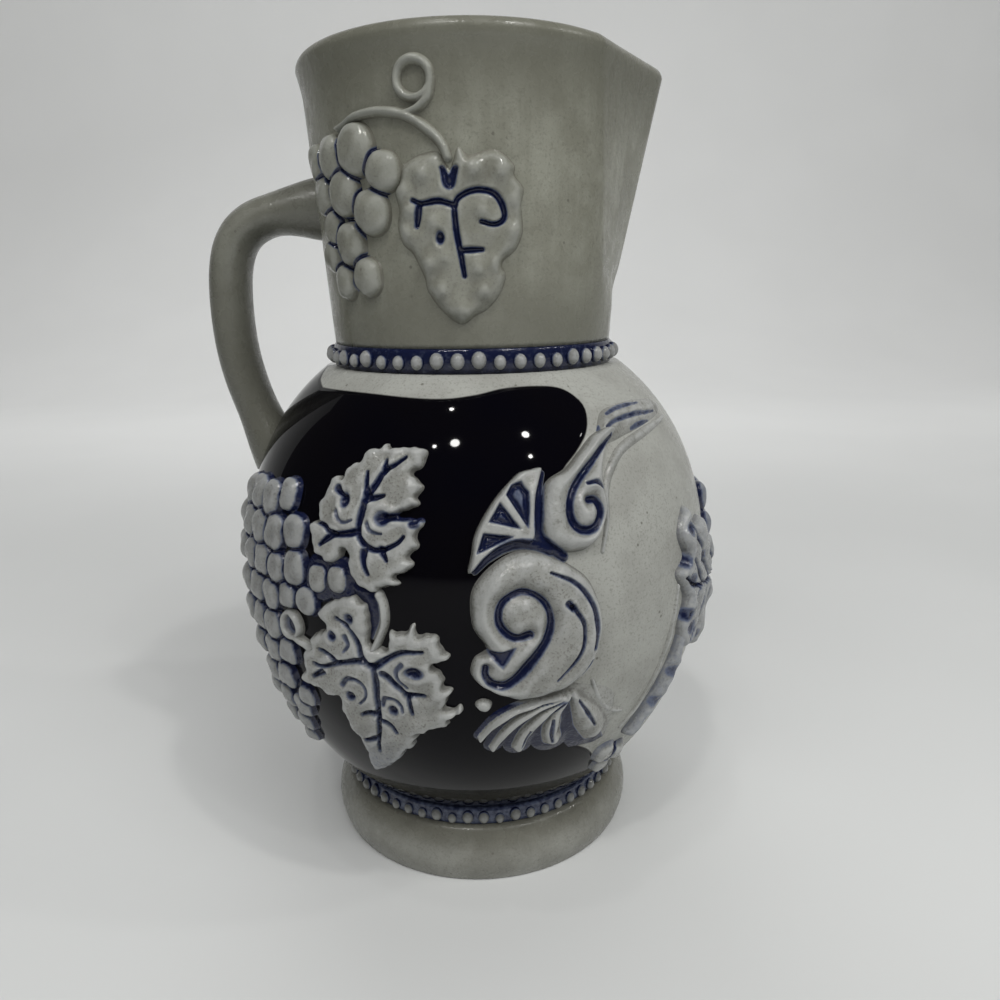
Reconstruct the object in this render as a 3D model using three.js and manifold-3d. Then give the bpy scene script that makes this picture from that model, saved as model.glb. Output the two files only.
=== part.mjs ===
// Salt-glazed stoneware pitcher, in millimetres with +Z up.
// A turned foot, belly and neck are stacked on each other, two beaded bands cover their seams,
// and a pulled handle and pressed relief ornaments are luted to the walls.
// The origin is the middle of the flat underside. The pouring lip points along +X and the handle
// along -X. The ornaments of the right side (-Y) are mirrored on the left side (+Y).

import * as THREE from 'three';
import Module from 'manifold-3d';
import { mergeVertices } from 'three/addons/utils/BufferGeometryUtils.js';
import { TessellateModifier } from 'three/addons/modifiers/TessellateModifier.js';

// Heights of the sections, each stacked on the one before it
const FOOT_HEIGHT = 11.5;
const FOOT_BAND_HEIGHT = 3.8;
const BELLY_LOWER_RISE = 45.5;
const BELLY_UPPER_RISE = 42.8;
const NECK_BAND_HEIGHT = 4.5;
const NECK_RISE = 51.9;

// Foot
const FOOT_BASE_RADIUS = 33.6;
const FOOT_BULGE = 2.2;
const FOOT_EDGE = 0.8;
const FOOT_LEDGE = 1.2;
const FLOOR_THICKNESS = 6;

// Belly, whose wall is a full oval above and below its widest line
const BELLY_RADIUS = 49.6;
const BELLY_FOOT_RADIUS = 30.4;
const BELLY_SHOULDER_LEDGE = 2.1;
const BELLY_WALL = 5;
const LOWER_FULLNESS = 2;
const UPPER_FULLNESS = 2.2;

// Neck and rim
const NECK_BASE_RADIUS = 28.6;
const NECK_TOP_RADIUS = 32.2;
const NECK_WALL = 4;
const RIM_FLARE = 1.3;
const RIM_FLARE_HEIGHT = 8;

// Pouring lip: two flat facets between a crease on each side and the keel
const LIP_REACH = 5.7;
const LIP_DROP = 46;
const LIP_CREASE_AT_RIM = 45;
const LIP_CREASE_AT_FOOT = 30;
const LIP_FADE = 0.2;

// Beaded bands
const BAND_SEAT_DEPTH = 1;
const FOOT_BAND_PROUD = 0.8;
const NECK_BAND_PROUD = 0.6;
const FOOT_BEAD_RADIUS = 1.15;
const FOOT_BEAD_PITCH = 3.25;
const NECK_BEAD_RADIUS = 1.35;
const NECK_BEAD_PITCH = 3.74;
const BEAD_PROUD = 1.1;

// Handle, an oval strap in the plane of the lip, whose middle line stands just outside the belly
const HANDLE_OVERHANG = 0.4;
const HANDLE_TOP_DROP = 25.5;
const HANDLE_BEND_DROP = 20;
const HANDLE_FOOT_RISE = 24;
const HANDLE_FOOT_LEAN = 18;
const HANDLE_SQUARENESS = 0.82;
const HANDLE_THICKNESS = 8.2;
const HANDLE_WIDTH = 12.5;
const HANDLE_ROOT_FLARE = 0.55;
const HANDLE_FOOT_FLARE = 0.25;
const HANDLE_FLARE_SHARE = 0.2;
const HANDLE_SLACK = 0.42;
const HANDLE_SINK = 3;

// Ornaments: how far they stand off the wall, and the slip left between them and the wall
const RELIEF_HEIGHT = 1.7;
const RELIEF_EDGE_SHARE = 0.6;
const RELIEF_ROUNDING = 2.5;
const STEM_WIDTH = 1.2;
const STEM_HEIGHT = 1.2;
const STEM_TOP_SHARE = 0.56;
const GRAPE_HEIGHT = 2;
const GRAPE_RADIUS = 2.65;
const GRAPE_GAP = 0.5;
const GRAPE_ROW_STEP = 5.7;
const CROWN_RISE = 0.75;
const CROWN_SHARE = 0.65;
const WEB_HEIGHT = 0.7;
const WEB_MARGIN = 0.2;
const EDGE_SWELL = 0.1;
const LUTE_GAP = 0.3;

// Facets
const TURNED_STEPS = 40;
const NECK_STEPS = 40;
const ARC_STEPS = 6;
const BORE_STEPS = 4;
const RELIEF_STEP = 6;
const OUTLINE_STEPS = 2;
const CURL_STEPS = 10;
const DROP_SIDES = 5;
const HANDLE_SIDES = 12;
const WELD_DISTANCE = 1e-4;
const SPLIT_PASSES = 8;

// Levels and radii that follow from the sizes above
const footSeam = FOOT_HEIGHT + FOOT_BAND_HEIGHT / 2;
const bellyBottom = FOOT_HEIGHT + FOOT_BAND_HEIGHT;
const girthHeight = bellyBottom + BELLY_LOWER_RISE;
const bellyTop = girthHeight + BELLY_UPPER_RISE;
const neckSeam = bellyTop + NECK_BAND_HEIGHT / 2;
const neckBottom = bellyTop + NECK_BAND_HEIGHT;
const rimHeight = neckBottom + NECK_RISE;
const footTopRadius = BELLY_FOOT_RADIUS + FOOT_LEDGE;
const footSeatRadius = BELLY_FOOT_RADIUS - BAND_SEAT_DEPTH;
const bellyTopRadius = NECK_BASE_RADIUS + BELLY_SHOULDER_LEDGE;
const neckSeatRadius = NECK_BASE_RADIUS - BAND_SEAT_DEPTH;
const neckBore = NECK_BASE_RADIUS - NECK_WALL;
const neckMeanRadius = (NECK_BASE_RADIUS + NECK_TOP_RADIUS) / 2;
const handleReach = BELLY_RADIUS + HANDLE_OVERHANG;

const { lerp, degToRad, smoothstep } = THREE.MathUtils;
const wasm = await Module();
wasm.setup();

// Closed meshes

// Keeps only positions, shares the corners and drops faces that have collapsed on the axis.
function closedMesh(geometry) {
  const bare = new THREE.BufferGeometry();
  bare.setAttribute('position', geometry.getAttribute('position').clone());
  if (geometry.index) bare.setIndex(geometry.index.clone());
  const merged = mergeVertices(bare, WELD_DISTANCE);
  const corners = [];
  for (let i = 0; i < merged.index.count; i += 3) {
    const [a, b, c] = [0, 1, 2].map((k) => merged.index.getX(i + k));
    if (a !== b && b !== c && c !== a) corners.push(a, b, c);
  }
  merged.setIndex(corners);
  return merged;
}

function toManifold(geometry) {
  const mesh = closedMesh(geometry);
  const vertProperties = new Float32Array(mesh.getAttribute('position').array);
  const triVerts = new Uint32Array(mesh.index.array);
  return new wasm.Manifold(new wasm.Mesh({ numProp: 3, vertProperties, triVerts }));
}

function fromManifold(manifold) {
  const { vertProperties, triVerts } = manifold.getMesh();
  const geometry = new THREE.BufferGeometry();
  geometry.setAttribute('position', new THREE.BufferAttribute(new Float32Array(vertProperties), 3));
  geometry.setIndex(new THREE.BufferAttribute(new Uint32Array(triVerts), 1));
  return geometry;
}

function joined(geometries) {
  return fromManifold(geometries.map(toManifold).reduce((whole, next) => whole.add(next)));
}

// Turns a profile of [radius, height] points about +Z. Profiles run up the outside.
function turned(profile, steps = TURNED_STEPS) {
  const points = profile.map(([radius, height]) => new THREE.Vector2(radius, height));
  return new THREE.LatheGeometry(points, steps).rotateX(Math.PI / 2);
}

// A closed skin over rings of points, with a flat fan over the first and the last ring
function lofted(rings) {
  const sides = rings[0].length;
  const position = rings.flat().flatMap((point) => point.toArray());
  const faces = [];
  for (let ring = 0; ring + 1 < rings.length; ring += 1) {
    for (let side = 0; side < sides; side += 1) {
      const next = (side + 1) % sides;
      const [a, b] = [ring * sides + side, ring * sides + next];
      faces.push(a, b, b + sides, a, b + sides, a + sides);
    }
  }
  const last = (rings.length - 1) * sides;
  for (let side = 1; side + 1 < sides; side += 1) {
    faces.push(0, side + 1, side, last, last + side, last + side + 1);
  }
  const geometry = new THREE.BufferGeometry();
  geometry.setAttribute('position', new THREE.Float32BufferAttribute(position, 3));
  geometry.setIndex(faces);
  return geometry;
}

// Walls

// A quarter oval from the widest line to an end radius, drawn upwards (+1) or downwards (-1)
class OvalArc extends THREE.Curve {
  constructor(radius, endRadius, rise, fullness, direction) {
    super();
    this.radius = radius;
    this.power = 2 / fullness;
    this.endAngle = Math.acos((endRadius / radius) ** (fullness / 2));
    this.half = (direction * rise) / Math.sin(this.endAngle) ** this.power;
  }

  getPoint(t, target = new THREE.Vector2()) {
    const angle = t * this.endAngle;
    const height = girthHeight + this.half * Math.sin(angle) ** this.power;
    return target.set(this.radius * Math.cos(angle) ** this.power, height);
  }

  // How far along the arc it reaches a height
  shareAt(height) {
    const rise = (height - girthHeight) / this.half;
    return Math.asin(rise ** (1 / this.power)) / this.endAngle;
  }
}

const upperWall = new OvalArc(BELLY_RADIUS, bellyTopRadius, BELLY_UPPER_RISE, UPPER_FULLNESS, 1);
const lowerWall = new OvalArc(BELLY_RADIUS, BELLY_FOOT_RADIUS, BELLY_LOWER_RISE, LOWER_FULLNESS, -1);
const boreRadius = BELLY_RADIUS - BELLY_WALL;
const upperBore = new OvalArc(boreRadius, neckBore, neckSeam - girthHeight, UPPER_FULLNESS, 1);
const lowerBore = new OvalArc(boreRadius, 0, girthHeight - FLOOR_THICKNESS, LOWER_FULLNESS, -1);

const boreSeamShare = lowerBore.shareAt(footSeam);

// The belly wall at v millimetres up (or down) its curve from the widest line, h off the wall
function bellyProfilePoint(v, h) {
  const arc = v < 0 ? lowerWall : upperWall;
  const share = Math.abs(v) / arc.getLength();
  const point = arc.getPointAt(share);
  const along = arc.getTangentAt(share).multiplyScalar(v < 0 ? -1 : 1);
  return [point.x + h * along.y, point.y - h * along.x];
}

function bellyProfile(h) {
  const points = [];
  for (let i = -ARC_STEPS; i <= ARC_STEPS; i += 1) {
    const arc = i < 0 ? lowerWall : upperWall;
    points.push(bellyProfilePoint((i / ARC_STEPS) * arc.getLength(), h));
  }
  return points;
}

function neckRadius(height) {
  const flare = Math.max(0, 1 - (rimHeight - height) / RIM_FLARE_HEIGHT);
  const taper = lerp(NECK_BASE_RADIUS, NECK_TOP_RADIUS, (height - neckBottom) / NECK_RISE);
  return taper + RIM_FLARE * flare * flare;
}

// Places on the walls: u runs round the wall from the middle of the right side towards the lip,
// v runs up the wall, and h stands off it. The belly's v starts at its widest line, and the
// neck's v at its lower edge.
function roundTheAxis(radius, height, angle) {
  return new THREE.Vector3(radius * Math.cos(angle), radius * Math.sin(angle), height);
}

function onBelly(u, v, h) {
  const [radius, height] = bellyProfilePoint(v, h);
  return roundTheAxis(radius, height, u / BELLY_RADIUS - Math.PI / 2);
}

function onFront(u, v, h) {
  const [radius, height] = bellyProfilePoint(v, h);
  return roundTheAxis(radius, height, u / BELLY_RADIUS);
}

function onNeck(u, v, h) {
  const height = neckBottom + v;
  return roundTheAxis(neckRadius(height) + h, height, u / neckMeanRadius - Math.PI / 2);
}

// Body sections

function footGeometry() {
  const base = new THREE.Vector2(FOOT_BASE_RADIUS, FOOT_EDGE);
  const bulge = new THREE.Vector2(FOOT_BASE_RADIUS + FOOT_BULGE, FOOT_HEIGHT / 2);
  const top = new THREE.Vector2(footTopRadius, FOOT_HEIGHT);
  const cushion = new THREE.QuadraticBezierCurve(base, bulge, top).getPoints(BORE_STEPS);
  const dish = [];
  for (let i = 0; i <= BORE_STEPS; i += 1) {
    dish.push(lowerBore.getPoint(lerp(boreSeamShare, 1, i / BORE_STEPS)));
  }
  return turned([
    [0, 0],
    [FOOT_BASE_RADIUS - FOOT_EDGE, 0],
    ...cushion.map((point) => point.toArray()),
    [footSeatRadius, FOOT_HEIGHT],
    [footSeatRadius, footSeam],
    ...dish.map((point) => point.toArray()),
  ]);
}

function bellyGeometry() {
  const bore = [];
  for (let i = BORE_STEPS; i >= -BORE_STEPS; i -= 1) {
    const share = Math.abs(i) / BORE_STEPS;
    const point = i < 0 ? lowerBore.getPoint(share * boreSeamShare) : upperBore.getPoint(share);
    bore.push(point.toArray());
  }
  const seat = [footSeatRadius, footSeam];
  return turned([
    seat,
    [footSeatRadius, bellyBottom],
    ...bellyProfile(0),
    [neckSeatRadius, bellyTop],
    [neckSeatRadius, neckSeam],
    ...bore,
    seat,
  ]);
}

// How far the pressed lip moves the wall of the neck in or out
function lipShift(angle, height) {
  const depth = (rimHeight - height) / LIP_DROP;
  const crease = degToRad(lerp(LIP_CREASE_AT_RIM, LIP_CREASE_AT_FOOT, depth));
  const turn = Math.abs(angle);
  if (depth >= 1 || turn >= crease) return 0;
  const wall = neckRadius(height);
  const keel = lerp(neckRadius(rimHeight) + LIP_REACH, neckRadius(rimHeight - LIP_DROP), depth);
  const facet = (wall * keel * Math.sin(crease)) / (wall * Math.sin(crease - turn) + keel * Math.sin(turn));
  return (facet - wall) * smoothstep(1 - depth, 0, LIP_FADE);
}

function neckGeometry() {
  const rimRound = NECK_WALL / 2;
  const shoulder = rimHeight - rimRound;
  const outside = [];
  const inside = [];
  for (let i = 0; i <= ARC_STEPS; i += 1) {
    const height = lerp(neckBottom, shoulder, i / ARC_STEPS);
    outside.push([neckRadius(height), height]);
  }
  for (let i = BORE_STEPS; i >= 0; i -= 1) {
    const height = lerp(neckBottom, shoulder, i / BORE_STEPS);
    inside.push([neckRadius(height) - NECK_WALL, height]);
  }
  const rim = [0.25, 0.5, 0.75].map((share) => [
    neckRadius(shoulder) - rimRound + rimRound * Math.cos(Math.PI * share),
    shoulder + rimRound * Math.sin(Math.PI * share),
  ]);
  const seat = [neckSeatRadius, neckSeam];
  const neck = turned([
    seat,
    [neckSeatRadius, neckBottom],
    ...outside,
    ...rim,
    ...inside,
    [neckBore, neckSeam],
    seat,
  ], NECK_STEPS);
  const position = neck.getAttribute('position');
  for (let i = 0; i < position.count; i += 1) {
    const point = new THREE.Vector3().fromBufferAttribute(position, i);
    const angle = Math.atan2(point.y, point.x);
    const radius = Math.hypot(point.x, point.y) + lipShift(angle, point.z);
    position.setXYZ(i, radius * Math.cos(angle), radius * Math.sin(angle), point.z);
  }
  return neck;
}

// A strip with flat facets round the axis, and a bead on each facet
function bandGeometry(seatRadius, outerRadius, bottom, height, beadRadius, beadPitch) {
  const beads = Math.round((2 * Math.PI * outerRadius) / beadPitch);
  const halfTurn = Math.PI / beads;
  const apothem = outerRadius * Math.cos(halfTurn);
  const innerShare = (seatRadius + LUTE_GAP) / outerRadius;
  const halfWide = outerRadius * Math.sin(halfTurn);
  const [low, high] = [bottom, bottom + height];
  const facet = [[-halfWide, low], [halfWide, low], [halfWide, high], [-halfWide, high]];
  const rim = facet.map(([u, z]) => new THREE.Vector2(u, z));
  const face = studdedFace(rim, [[0, (low + high) / 2, beadRadius]], 0, BEAD_PROUD);
  const [a, b, c, d] = facet.map(([u, z]) => new THREE.Vector3(apothem, u, z));
  const [e, f, g, h] = facet.map(([u, z]) => new THREE.Vector3(apothem * innerShare, u * innerShare, z));
  const back = [a, e, b, b, e, f, d, c, h, c, g, h, e, h, f, f, h, g];
  const one = [...face.map(({ x, y, z }) => new THREE.Vector3(apothem + z, x, y)), ...back];
  const axis = new THREE.Vector3(0, 0, 1);
  const corners = [];
  for (let i = 0; i < beads; i += 1) {
    corners.push(...one.map((corner) => corner.clone().applyAxisAngle(axis, 2 * i * halfTurn)));
  }
  return new THREE.BufferGeometry().setFromPoints(corners);
}

// Handle: a quarter bend out of the neck, then a slow curve down into the shoulder
function handleGeometry() {
  const topHeight = rimHeight - HANDLE_TOP_DROP;
  const bendHeight = topHeight - HANDLE_BEND_DROP;
  const rootX = HANDLE_SINK - neckRadius(topHeight);
  const [footRadius, footHeight] = bellyProfilePoint(HANDLE_FOOT_RISE, -HANDLE_SINK);
  const lean = degToRad(HANDLE_FOOT_LEAN);
  const slack = HANDLE_SLACK * (bendHeight - footHeight);
  const point = (x, z) => new THREE.Vector3(x, 0, z);
  const path = new THREE.CurvePath();
  path.add(new THREE.CubicBezierCurve3(
    point(rootX, topHeight),
    point(lerp(rootX, -handleReach, HANDLE_SQUARENESS), topHeight),
    point(-handleReach, lerp(bendHeight, topHeight, HANDLE_SQUARENESS)),
    point(-handleReach, bendHeight),
  ));
  path.add(new THREE.CubicBezierCurve3(
    point(-handleReach, bendHeight),
    point(-handleReach, bendHeight - slack),
    point(-footRadius - slack * Math.sin(lean), footHeight + slack * Math.cos(lean)),
    point(-footRadius, footHeight),
  ));
  const rings = [];
  const steps = 3 * ARC_STEPS;
  for (let i = 0; i <= steps; i += 1) {
    const share = i / steps;
    const centre = path.getPointAt(share);
    const along = path.getTangentAt(share);
    const root = 1 + HANDLE_ROOT_FLARE * (1 - smoothstep(share, 0, HANDLE_FLARE_SHARE));
    const foot = 1 + HANDLE_FOOT_FLARE * smoothstep(share, 1 - HANDLE_FLARE_SHARE, 1);
    const ring = [];
    for (let side = 0; side < HANDLE_SIDES; side += 1) {
      const turn = (2 * Math.PI * side) / HANDLE_SIDES;
      const across = (HANDLE_THICKNESS / 2) * root * foot * Math.cos(turn);
      const wide = (HANDLE_WIDTH / 2) * foot * Math.sin(turn);
      ring.push(point(centre.x + along.z * across, centre.z - along.x * across).setY(wide));
    }
    rings.push(ring);
  }
  const body = turned([
    [0, bellyBottom],
    ...bellyProfile(LUTE_GAP),
    [NECK_BASE_RADIUS + LUTE_GAP, neckBottom],
    [NECK_TOP_RADIUS + LUTE_GAP, rimHeight],
    [0, rimHeight],
  ]);
  return fromManifold(toManifold(lofted(rings)).subtract(toManifold(body)));
}

// Ornaments

function outline(points) {
  return new THREE.Shape(points.map(([u, v]) => new THREE.Vector2(u, v)));
}

// A smooth closed outline through the points
function roundOutline(points) {
  const corners = points.map(([u, v]) => new THREE.Vector3(u, v, 0));
  const curve = new THREE.CatmullRomCurve3(corners, true);
  return outline(curve.getPoints(OUTLINE_STEPS * points.length).slice(0, -1).map(({ x, y }) => [x, y]));
}

function edgeDistance(rims, u, v) {
  const spot = new THREE.Vector3(u, v, 0);
  const nearest = new THREE.Vector3();
  let least = Infinity;
  for (const rim of rims) {
    rim.forEach((from, i) => {
      const to = rim[(i + 1) % rim.length];
      const edge = new THREE.Line3(new THREE.Vector3(from.x, from.y), new THREE.Vector3(to.x, to.y));
      edge.closestPointToPoint(spot, true, nearest);
      least = Math.min(least, nearest.distanceTo(spot));
    });
  }
  return least;
}

// A pillow-shaped relief with the given outline, bent on to a wall
function relief(shape, place, height = RELIEF_HEIGHT) {
  const slab = new THREE.ExtrudeGeometry(shape, { depth: height, bevelEnabled: false });
  slab.deleteAttribute('normal');
  slab.deleteAttribute('uv');
  const fine = closedMesh(new TessellateModifier(RELIEF_STEP, SPLIT_PASSES).modify(slab));
  const rims = [shape.getPoints(), ...shape.holes.map((hole) => hole.getPoints())];
  const position = fine.getAttribute('position');
  for (let i = 0; i < position.count; i += 1) {
    const [u, v, h] = [position.getX(i), position.getY(i), position.getZ(i)];
    const inward = Math.min(1, edgeDistance(rims, u, v) / RELIEF_ROUNDING);
    const rise = h * lerp(RELIEF_EDGE_SHARE, 1, inward);
    position.setXYZ(i, ...place(u, v, LUTE_GAP + rise).toArray());
  }
  return fine;
}

// Adds corners to an outline, so that no edge is longer than a relief step. Long edges swell a
// little, which keeps the added corners. They are rounded to single precision, so that they weld
// to the same corners of a buffer geometry.
function splitEdges(points) {
  return points.flatMap(([u, v], i) => {
    const [nextU, nextV] = points[(i + 1) % points.length];
    const length = Math.hypot(nextU - u, nextV - v);
    const parts = Math.ceil(length / RELIEF_STEP);
    return Array.from({ length: parts }, (_, k) => {
      const swell = (EDGE_SWELL / length) * Math.sin((Math.PI * k) / parts);
      const edgeU = lerp(u, nextU, k / parts) + swell * (nextV - v);
      const edgeV = lerp(v, nextV, k / parts) - swell * (nextU - u);
      return new THREE.Vector2(Math.fround(edgeU), Math.fround(edgeV));
    });
  });
}

// A flat face at height foot, with round drops of [u, v, radius] that rise to height top.
// The face is triangulated round the drops, which share its corners.
function studdedFace(rim, drops, foot, top) {
  const ring = ([u, v, radius], share) => Array.from({ length: DROP_SIDES }, (_, k) => {
    const turn = (-2 * Math.PI * k) / DROP_SIDES;
    return new THREE.Vector2(u + share * radius * Math.cos(turn), v + share * radius * Math.sin(turn));
  });
  const feet = drops.map((drop) => ring(drop, 1));
  const flat = [rim, ...feet].flat();
  const corners = [];
  for (const face of THREE.ShapeUtils.triangulateShape(rim, feet)) {
    corners.push(...face.map((k) => lifted(flat[k], foot)));
  }
  const crownHeight = lerp(foot, top, CROWN_RISE);
  drops.forEach((drop, i) => {
    const crown = ring(drop, CROWN_SHARE);
    const apex = new THREE.Vector3(drop[0], drop[1], top);
    crown.forEach((point, k) => {
      const next = (k + 1) % DROP_SIDES;
      const [a, b] = [lifted(feet[i][k], foot), lifted(feet[i][next], foot)];
      const [c, d] = [lifted(point, crownHeight), lifted(crown[next], crownHeight)];
      corners.push(a, c, b, b, c, d, c, apex, d);
    });
  });
  return corners;
}

function lifted({ x, y }, height) {
  return new THREE.Vector3(x, y, height);
}

// A bunch of drops on a thin web of clay with the given outline, bent on to a wall
function bunch(drops, web, place) {
  const rim = splitEdges(web);
  const corners = studdedFace(rim, drops, WEB_HEIGHT, GRAPE_HEIGHT);
  rim.forEach((point, i) => {
    const next = rim[(i + 1) % rim.length];
    const [a, b] = [lifted(point, 0), lifted(next, 0)];
    const [c, d] = [lifted(point, WEB_HEIGHT), lifted(next, WEB_HEIGHT)];
    corners.push(a, b, c, b, d, c);
  });
  const back = new THREE.ShapeGeometry(new THREE.Shape(rim));
  back.deleteAttribute('normal');
  back.deleteAttribute('uv');
  const fineBack = new TessellateModifier(RELIEF_STEP, SPLIT_PASSES).modify(back).getAttribute('position');
  for (let i = fineBack.count - 1; i >= 0; i -= 1) {
    corners.push(new THREE.Vector3().fromBufferAttribute(fineBack, i));
  }
  const laid = corners.map((corner) => place(corner.x, corner.y, LUTE_GAP + corner.z));
  return new THREE.BufferGeometry().setFromPoints(laid);
}

// A bunch of grapes in staggered rows. Each row is [grapes, half steps that its first grape lies
// from the corner of the bunch], and the web steps round the ends of the rows.
function grapeBunch(rows, [cornerU, middleV], place) {
  const step = 2 * GRAPE_RADIUS + GRAPE_GAP;
  const reach = GRAPE_RADIUS + WEB_MARGIN;
  const drops = [];
  const left = [];
  const right = [];
  rows.forEach(([count, halfSteps], i) => {
    const v = middleV + ((rows.length - 1) / 2 - i) * GRAPE_ROW_STEP;
    const first = cornerU - (halfSteps * step) / 2;
    const last = first - (count - 1) * step;
    for (let k = 0; k < count; k += 1) drops.push([first - k * step, v, GRAPE_RADIUS]);
    const [upper, lower] = [v + GRAPE_ROW_STEP / 4, v - GRAPE_ROW_STEP / 4];
    left.push([last - reach, upper], [last - reach, lower]);
    right.unshift([first + reach, lower], [first + reach, upper]);
    if (i === 0) {
      left.unshift([last - reach / 2, v + reach]);
      right.push([first + reach / 2, v + reach]);
    }
    if (i === rows.length - 1) {
      left.push([last - reach / 2, v - reach]);
      right.unshift([first + reach / 2, v - reach]);
    }
  });
  return bunch(drops, [...left, ...right], place);
}

// A half-round cord laid on a wall along a path of [u, v] points
function cord(points, place) {
  const curve = new THREE.CatmullRomCurve3(points.map(([u, v]) => new THREE.Vector3(u, v, 0)));
  const steps = 2 * points.length;
  const topEdge = STEM_TOP_SHARE / 2;
  const section = [[-0.5, 0], [-topEdge, 1], [topEdge, 1], [0.5, 0]];
  const rings = [];
  for (let i = 0; i <= steps; i += 1) {
    const centre = curve.getPointAt(i / steps);
    const along = curve.getTangentAt(i / steps);
    rings.push(section.map(([across, up]) => {
      const offset = across * STEM_WIDTH;
      const height = LUTE_GAP + up * STEM_HEIGHT;
      return place(centre.x + along.y * offset, centre.y - along.x * offset, height);
    }));
  }
  return lofted(rings);
}

// Points of a curl that winds in towards its centre
function curlPoints({ centre: [u, v], outer, inner, start, turns }) {
  const points = [];
  const steps = Math.round(Math.abs(turns) * CURL_STEPS);
  for (let i = 0; i <= steps; i += 1) {
    const angle = (start + (turns * i) / steps) * 2 * Math.PI;
    const radius = lerp(outer, inner, i / steps);
    points.push([u + radius * Math.cos(angle), v + radius * Math.sin(angle)]);
  }
  return points;
}

const NECK_LEAF = [
  [-3.2, 29.5], [-5, 32.1], [-8, 31.9], [-11.3, 30.3], [-12, 27.9], [-13, 26.2], [-12.5, 23.4],
  [-13, 20.7], [-12.2, 17.9], [-10.4, 16.1], [-8.6, 12.4], [-8, 9.9], [-5.6, 6.7], [-2.2, 4.3],
  [0.8, 5.8], [2.9, 6.9], [5.2, 9.5], [6.2, 12.4], [5.4, 14.5], [8, 16.7], [9.2, 19.9],
  [8.8, 23.9], [9.2, 26.5], [7.6, 28.5], [7.4, 30.3], [4.2, 32.5], [0, 31.6], [-1.8, 32.8],
];
const NECK_GRAPES = [
  [-20, 33.4, 3.3], [-26.5, 32.9, 2.9], [-15, 29.6, 2.6], [-30.6, 26.9, 2.5], [-23.6, 26.7, 3.2],
  [-18, 23.3, 3.1], [-28.2, 22.3, 2.2], [-24, 18.3, 3.1], [-30.2, 18.1, 2.4], [-20.7, 13.6, 2.4],
  [-26.6, 13.2, 2.4], [-32, 32, 2.4],
];
const NECK_GRAPE_WEB = [
  [-12.1, 29.4], [-13, 32.4], [-16.2, 33], [-17.4, 36.2], [-20, 37], [-23.2, 35.8], [-26.5, 36.2],
  [-30, 35], [-34.8, 34], [-34.8, 30], [-33.4, 27], [-32.8, 24.4], [-31, 22], [-32.9, 19.6],
  [-32.8, 16], [-29.4, 15], [-29.2, 11.6], [-26, 10.4], [-20, 10.6], [-17.9, 13.6], [-19.4, 16.4],
  [-20.4, 19], [-17, 19.6], [-14.4, 22.4], [-15, 26], [-13.4, 26.8],
];
const NECK_STEM = [[-24, 37.2], [-18, 38.8], [-11, 38.2], [-6.6, 35.6], [-4.3, 33.2], [-3.5, 31.2]];
const NECK_CURL = { centre: [-8.5, 43.1], outer: 2.9, inner: 2.1, start: 0, turns: 0.85 };
const NECK_CURL_TAIL = [[-10.5, 38.1], [-7.2, 38.9], [-5.7, 41]];

const UPPER_LEAF = [
  [-17, 8.8], [-13.2, 10.3], [-14, 11.6], [-10.9, 14], [-11.8, 15.2], [-10, 17.2], [-9.3, 21.4],
  [-14.2, 21.7], [-10.4, 23.6], [-9.8, 26.8], [-11.9, 29], [-9.7, 32.4], [-15, 33.4], [-18.2, 34.2],
  [-22.2, 32.2], [-22.9, 30.6], [-25.6, 29], [-26.2, 27.2], [-28.7, 27], [-30.4, 22.5],
  [-29.9, 19.4], [-32.5, 18.4], [-31, 15], [-28.4, 13.2], [-26, 12.6], [-24, 15], [-22.8, 13],
  [-20.8, 9.6],
];
const LOWER_LEAF = [
  [-16, -1.2], [-18.8, -0.8], [-19, 4.5], [-20.2, 6.8], [-22, 7.6], [-26.5, 6], [-29.3, 3.6],
  [-27.6, 1], [-31.5, -1.5], [-31.2, -3.2], [-33.4, -4.5], [-34, -8.3], [-35.8, -10.8],
  [-34.5, -12], [-29, -13], [-26.5, -12.6], [-25.8, -19], [-24, -24], [-24.2, -30.5],
  [-22.3, -30.2], [-17.5, -26.5], [-14.5, -22.3], [-12, -18.2], [-9, -16.6], [-5.6, -15.8],
  [-3.3, -12.6], [-6.2, -12], [-4.8, -8.4], [-6.2, -6], [-8, -3.8], [-5.1, -1.8], [-7.2, 2],
  [-10, 1.8], [-10.9, 3.8], [-14, 2], [-15.4, 0.8],
];
const LEAF_STALK = [[-17, 7.6], [-15.9, 5.6], [-16.3, 2.8], [-17.3, -0.2]];
const TENDRIL_CURL = { centre: [-36.2, -0.7], outer: 1.9, inner: 1.3, start: 0.8, turns: -0.85 };
const TENDRIL_TAIL = [[-33.6, -3.5], [-34.6, -3]];
// The bunches grow from the corner next to the leaves
const BELLY_BUNCH_CORNER = [-42, -3.3];
const BELLY_ROW_COUNTS = [
  [4, 0], [4, 1], [4, 0], [3, 1], [4, 0], [3, 1], [3, 0], [2, 1], [2, 0], [1, 1],
];
const SMALL_GRAPES = [[-29.2, 9.9, 1.9], [-25.1, 10, 1.9]];
const SMALL_GRAPE_WEB = [
  [-31.4, 9.9], [-30.2, 7.8], [-24.2, 7.9], [-23, 10], [-24.2, 12.1], [-30.2, 12],
];

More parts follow.
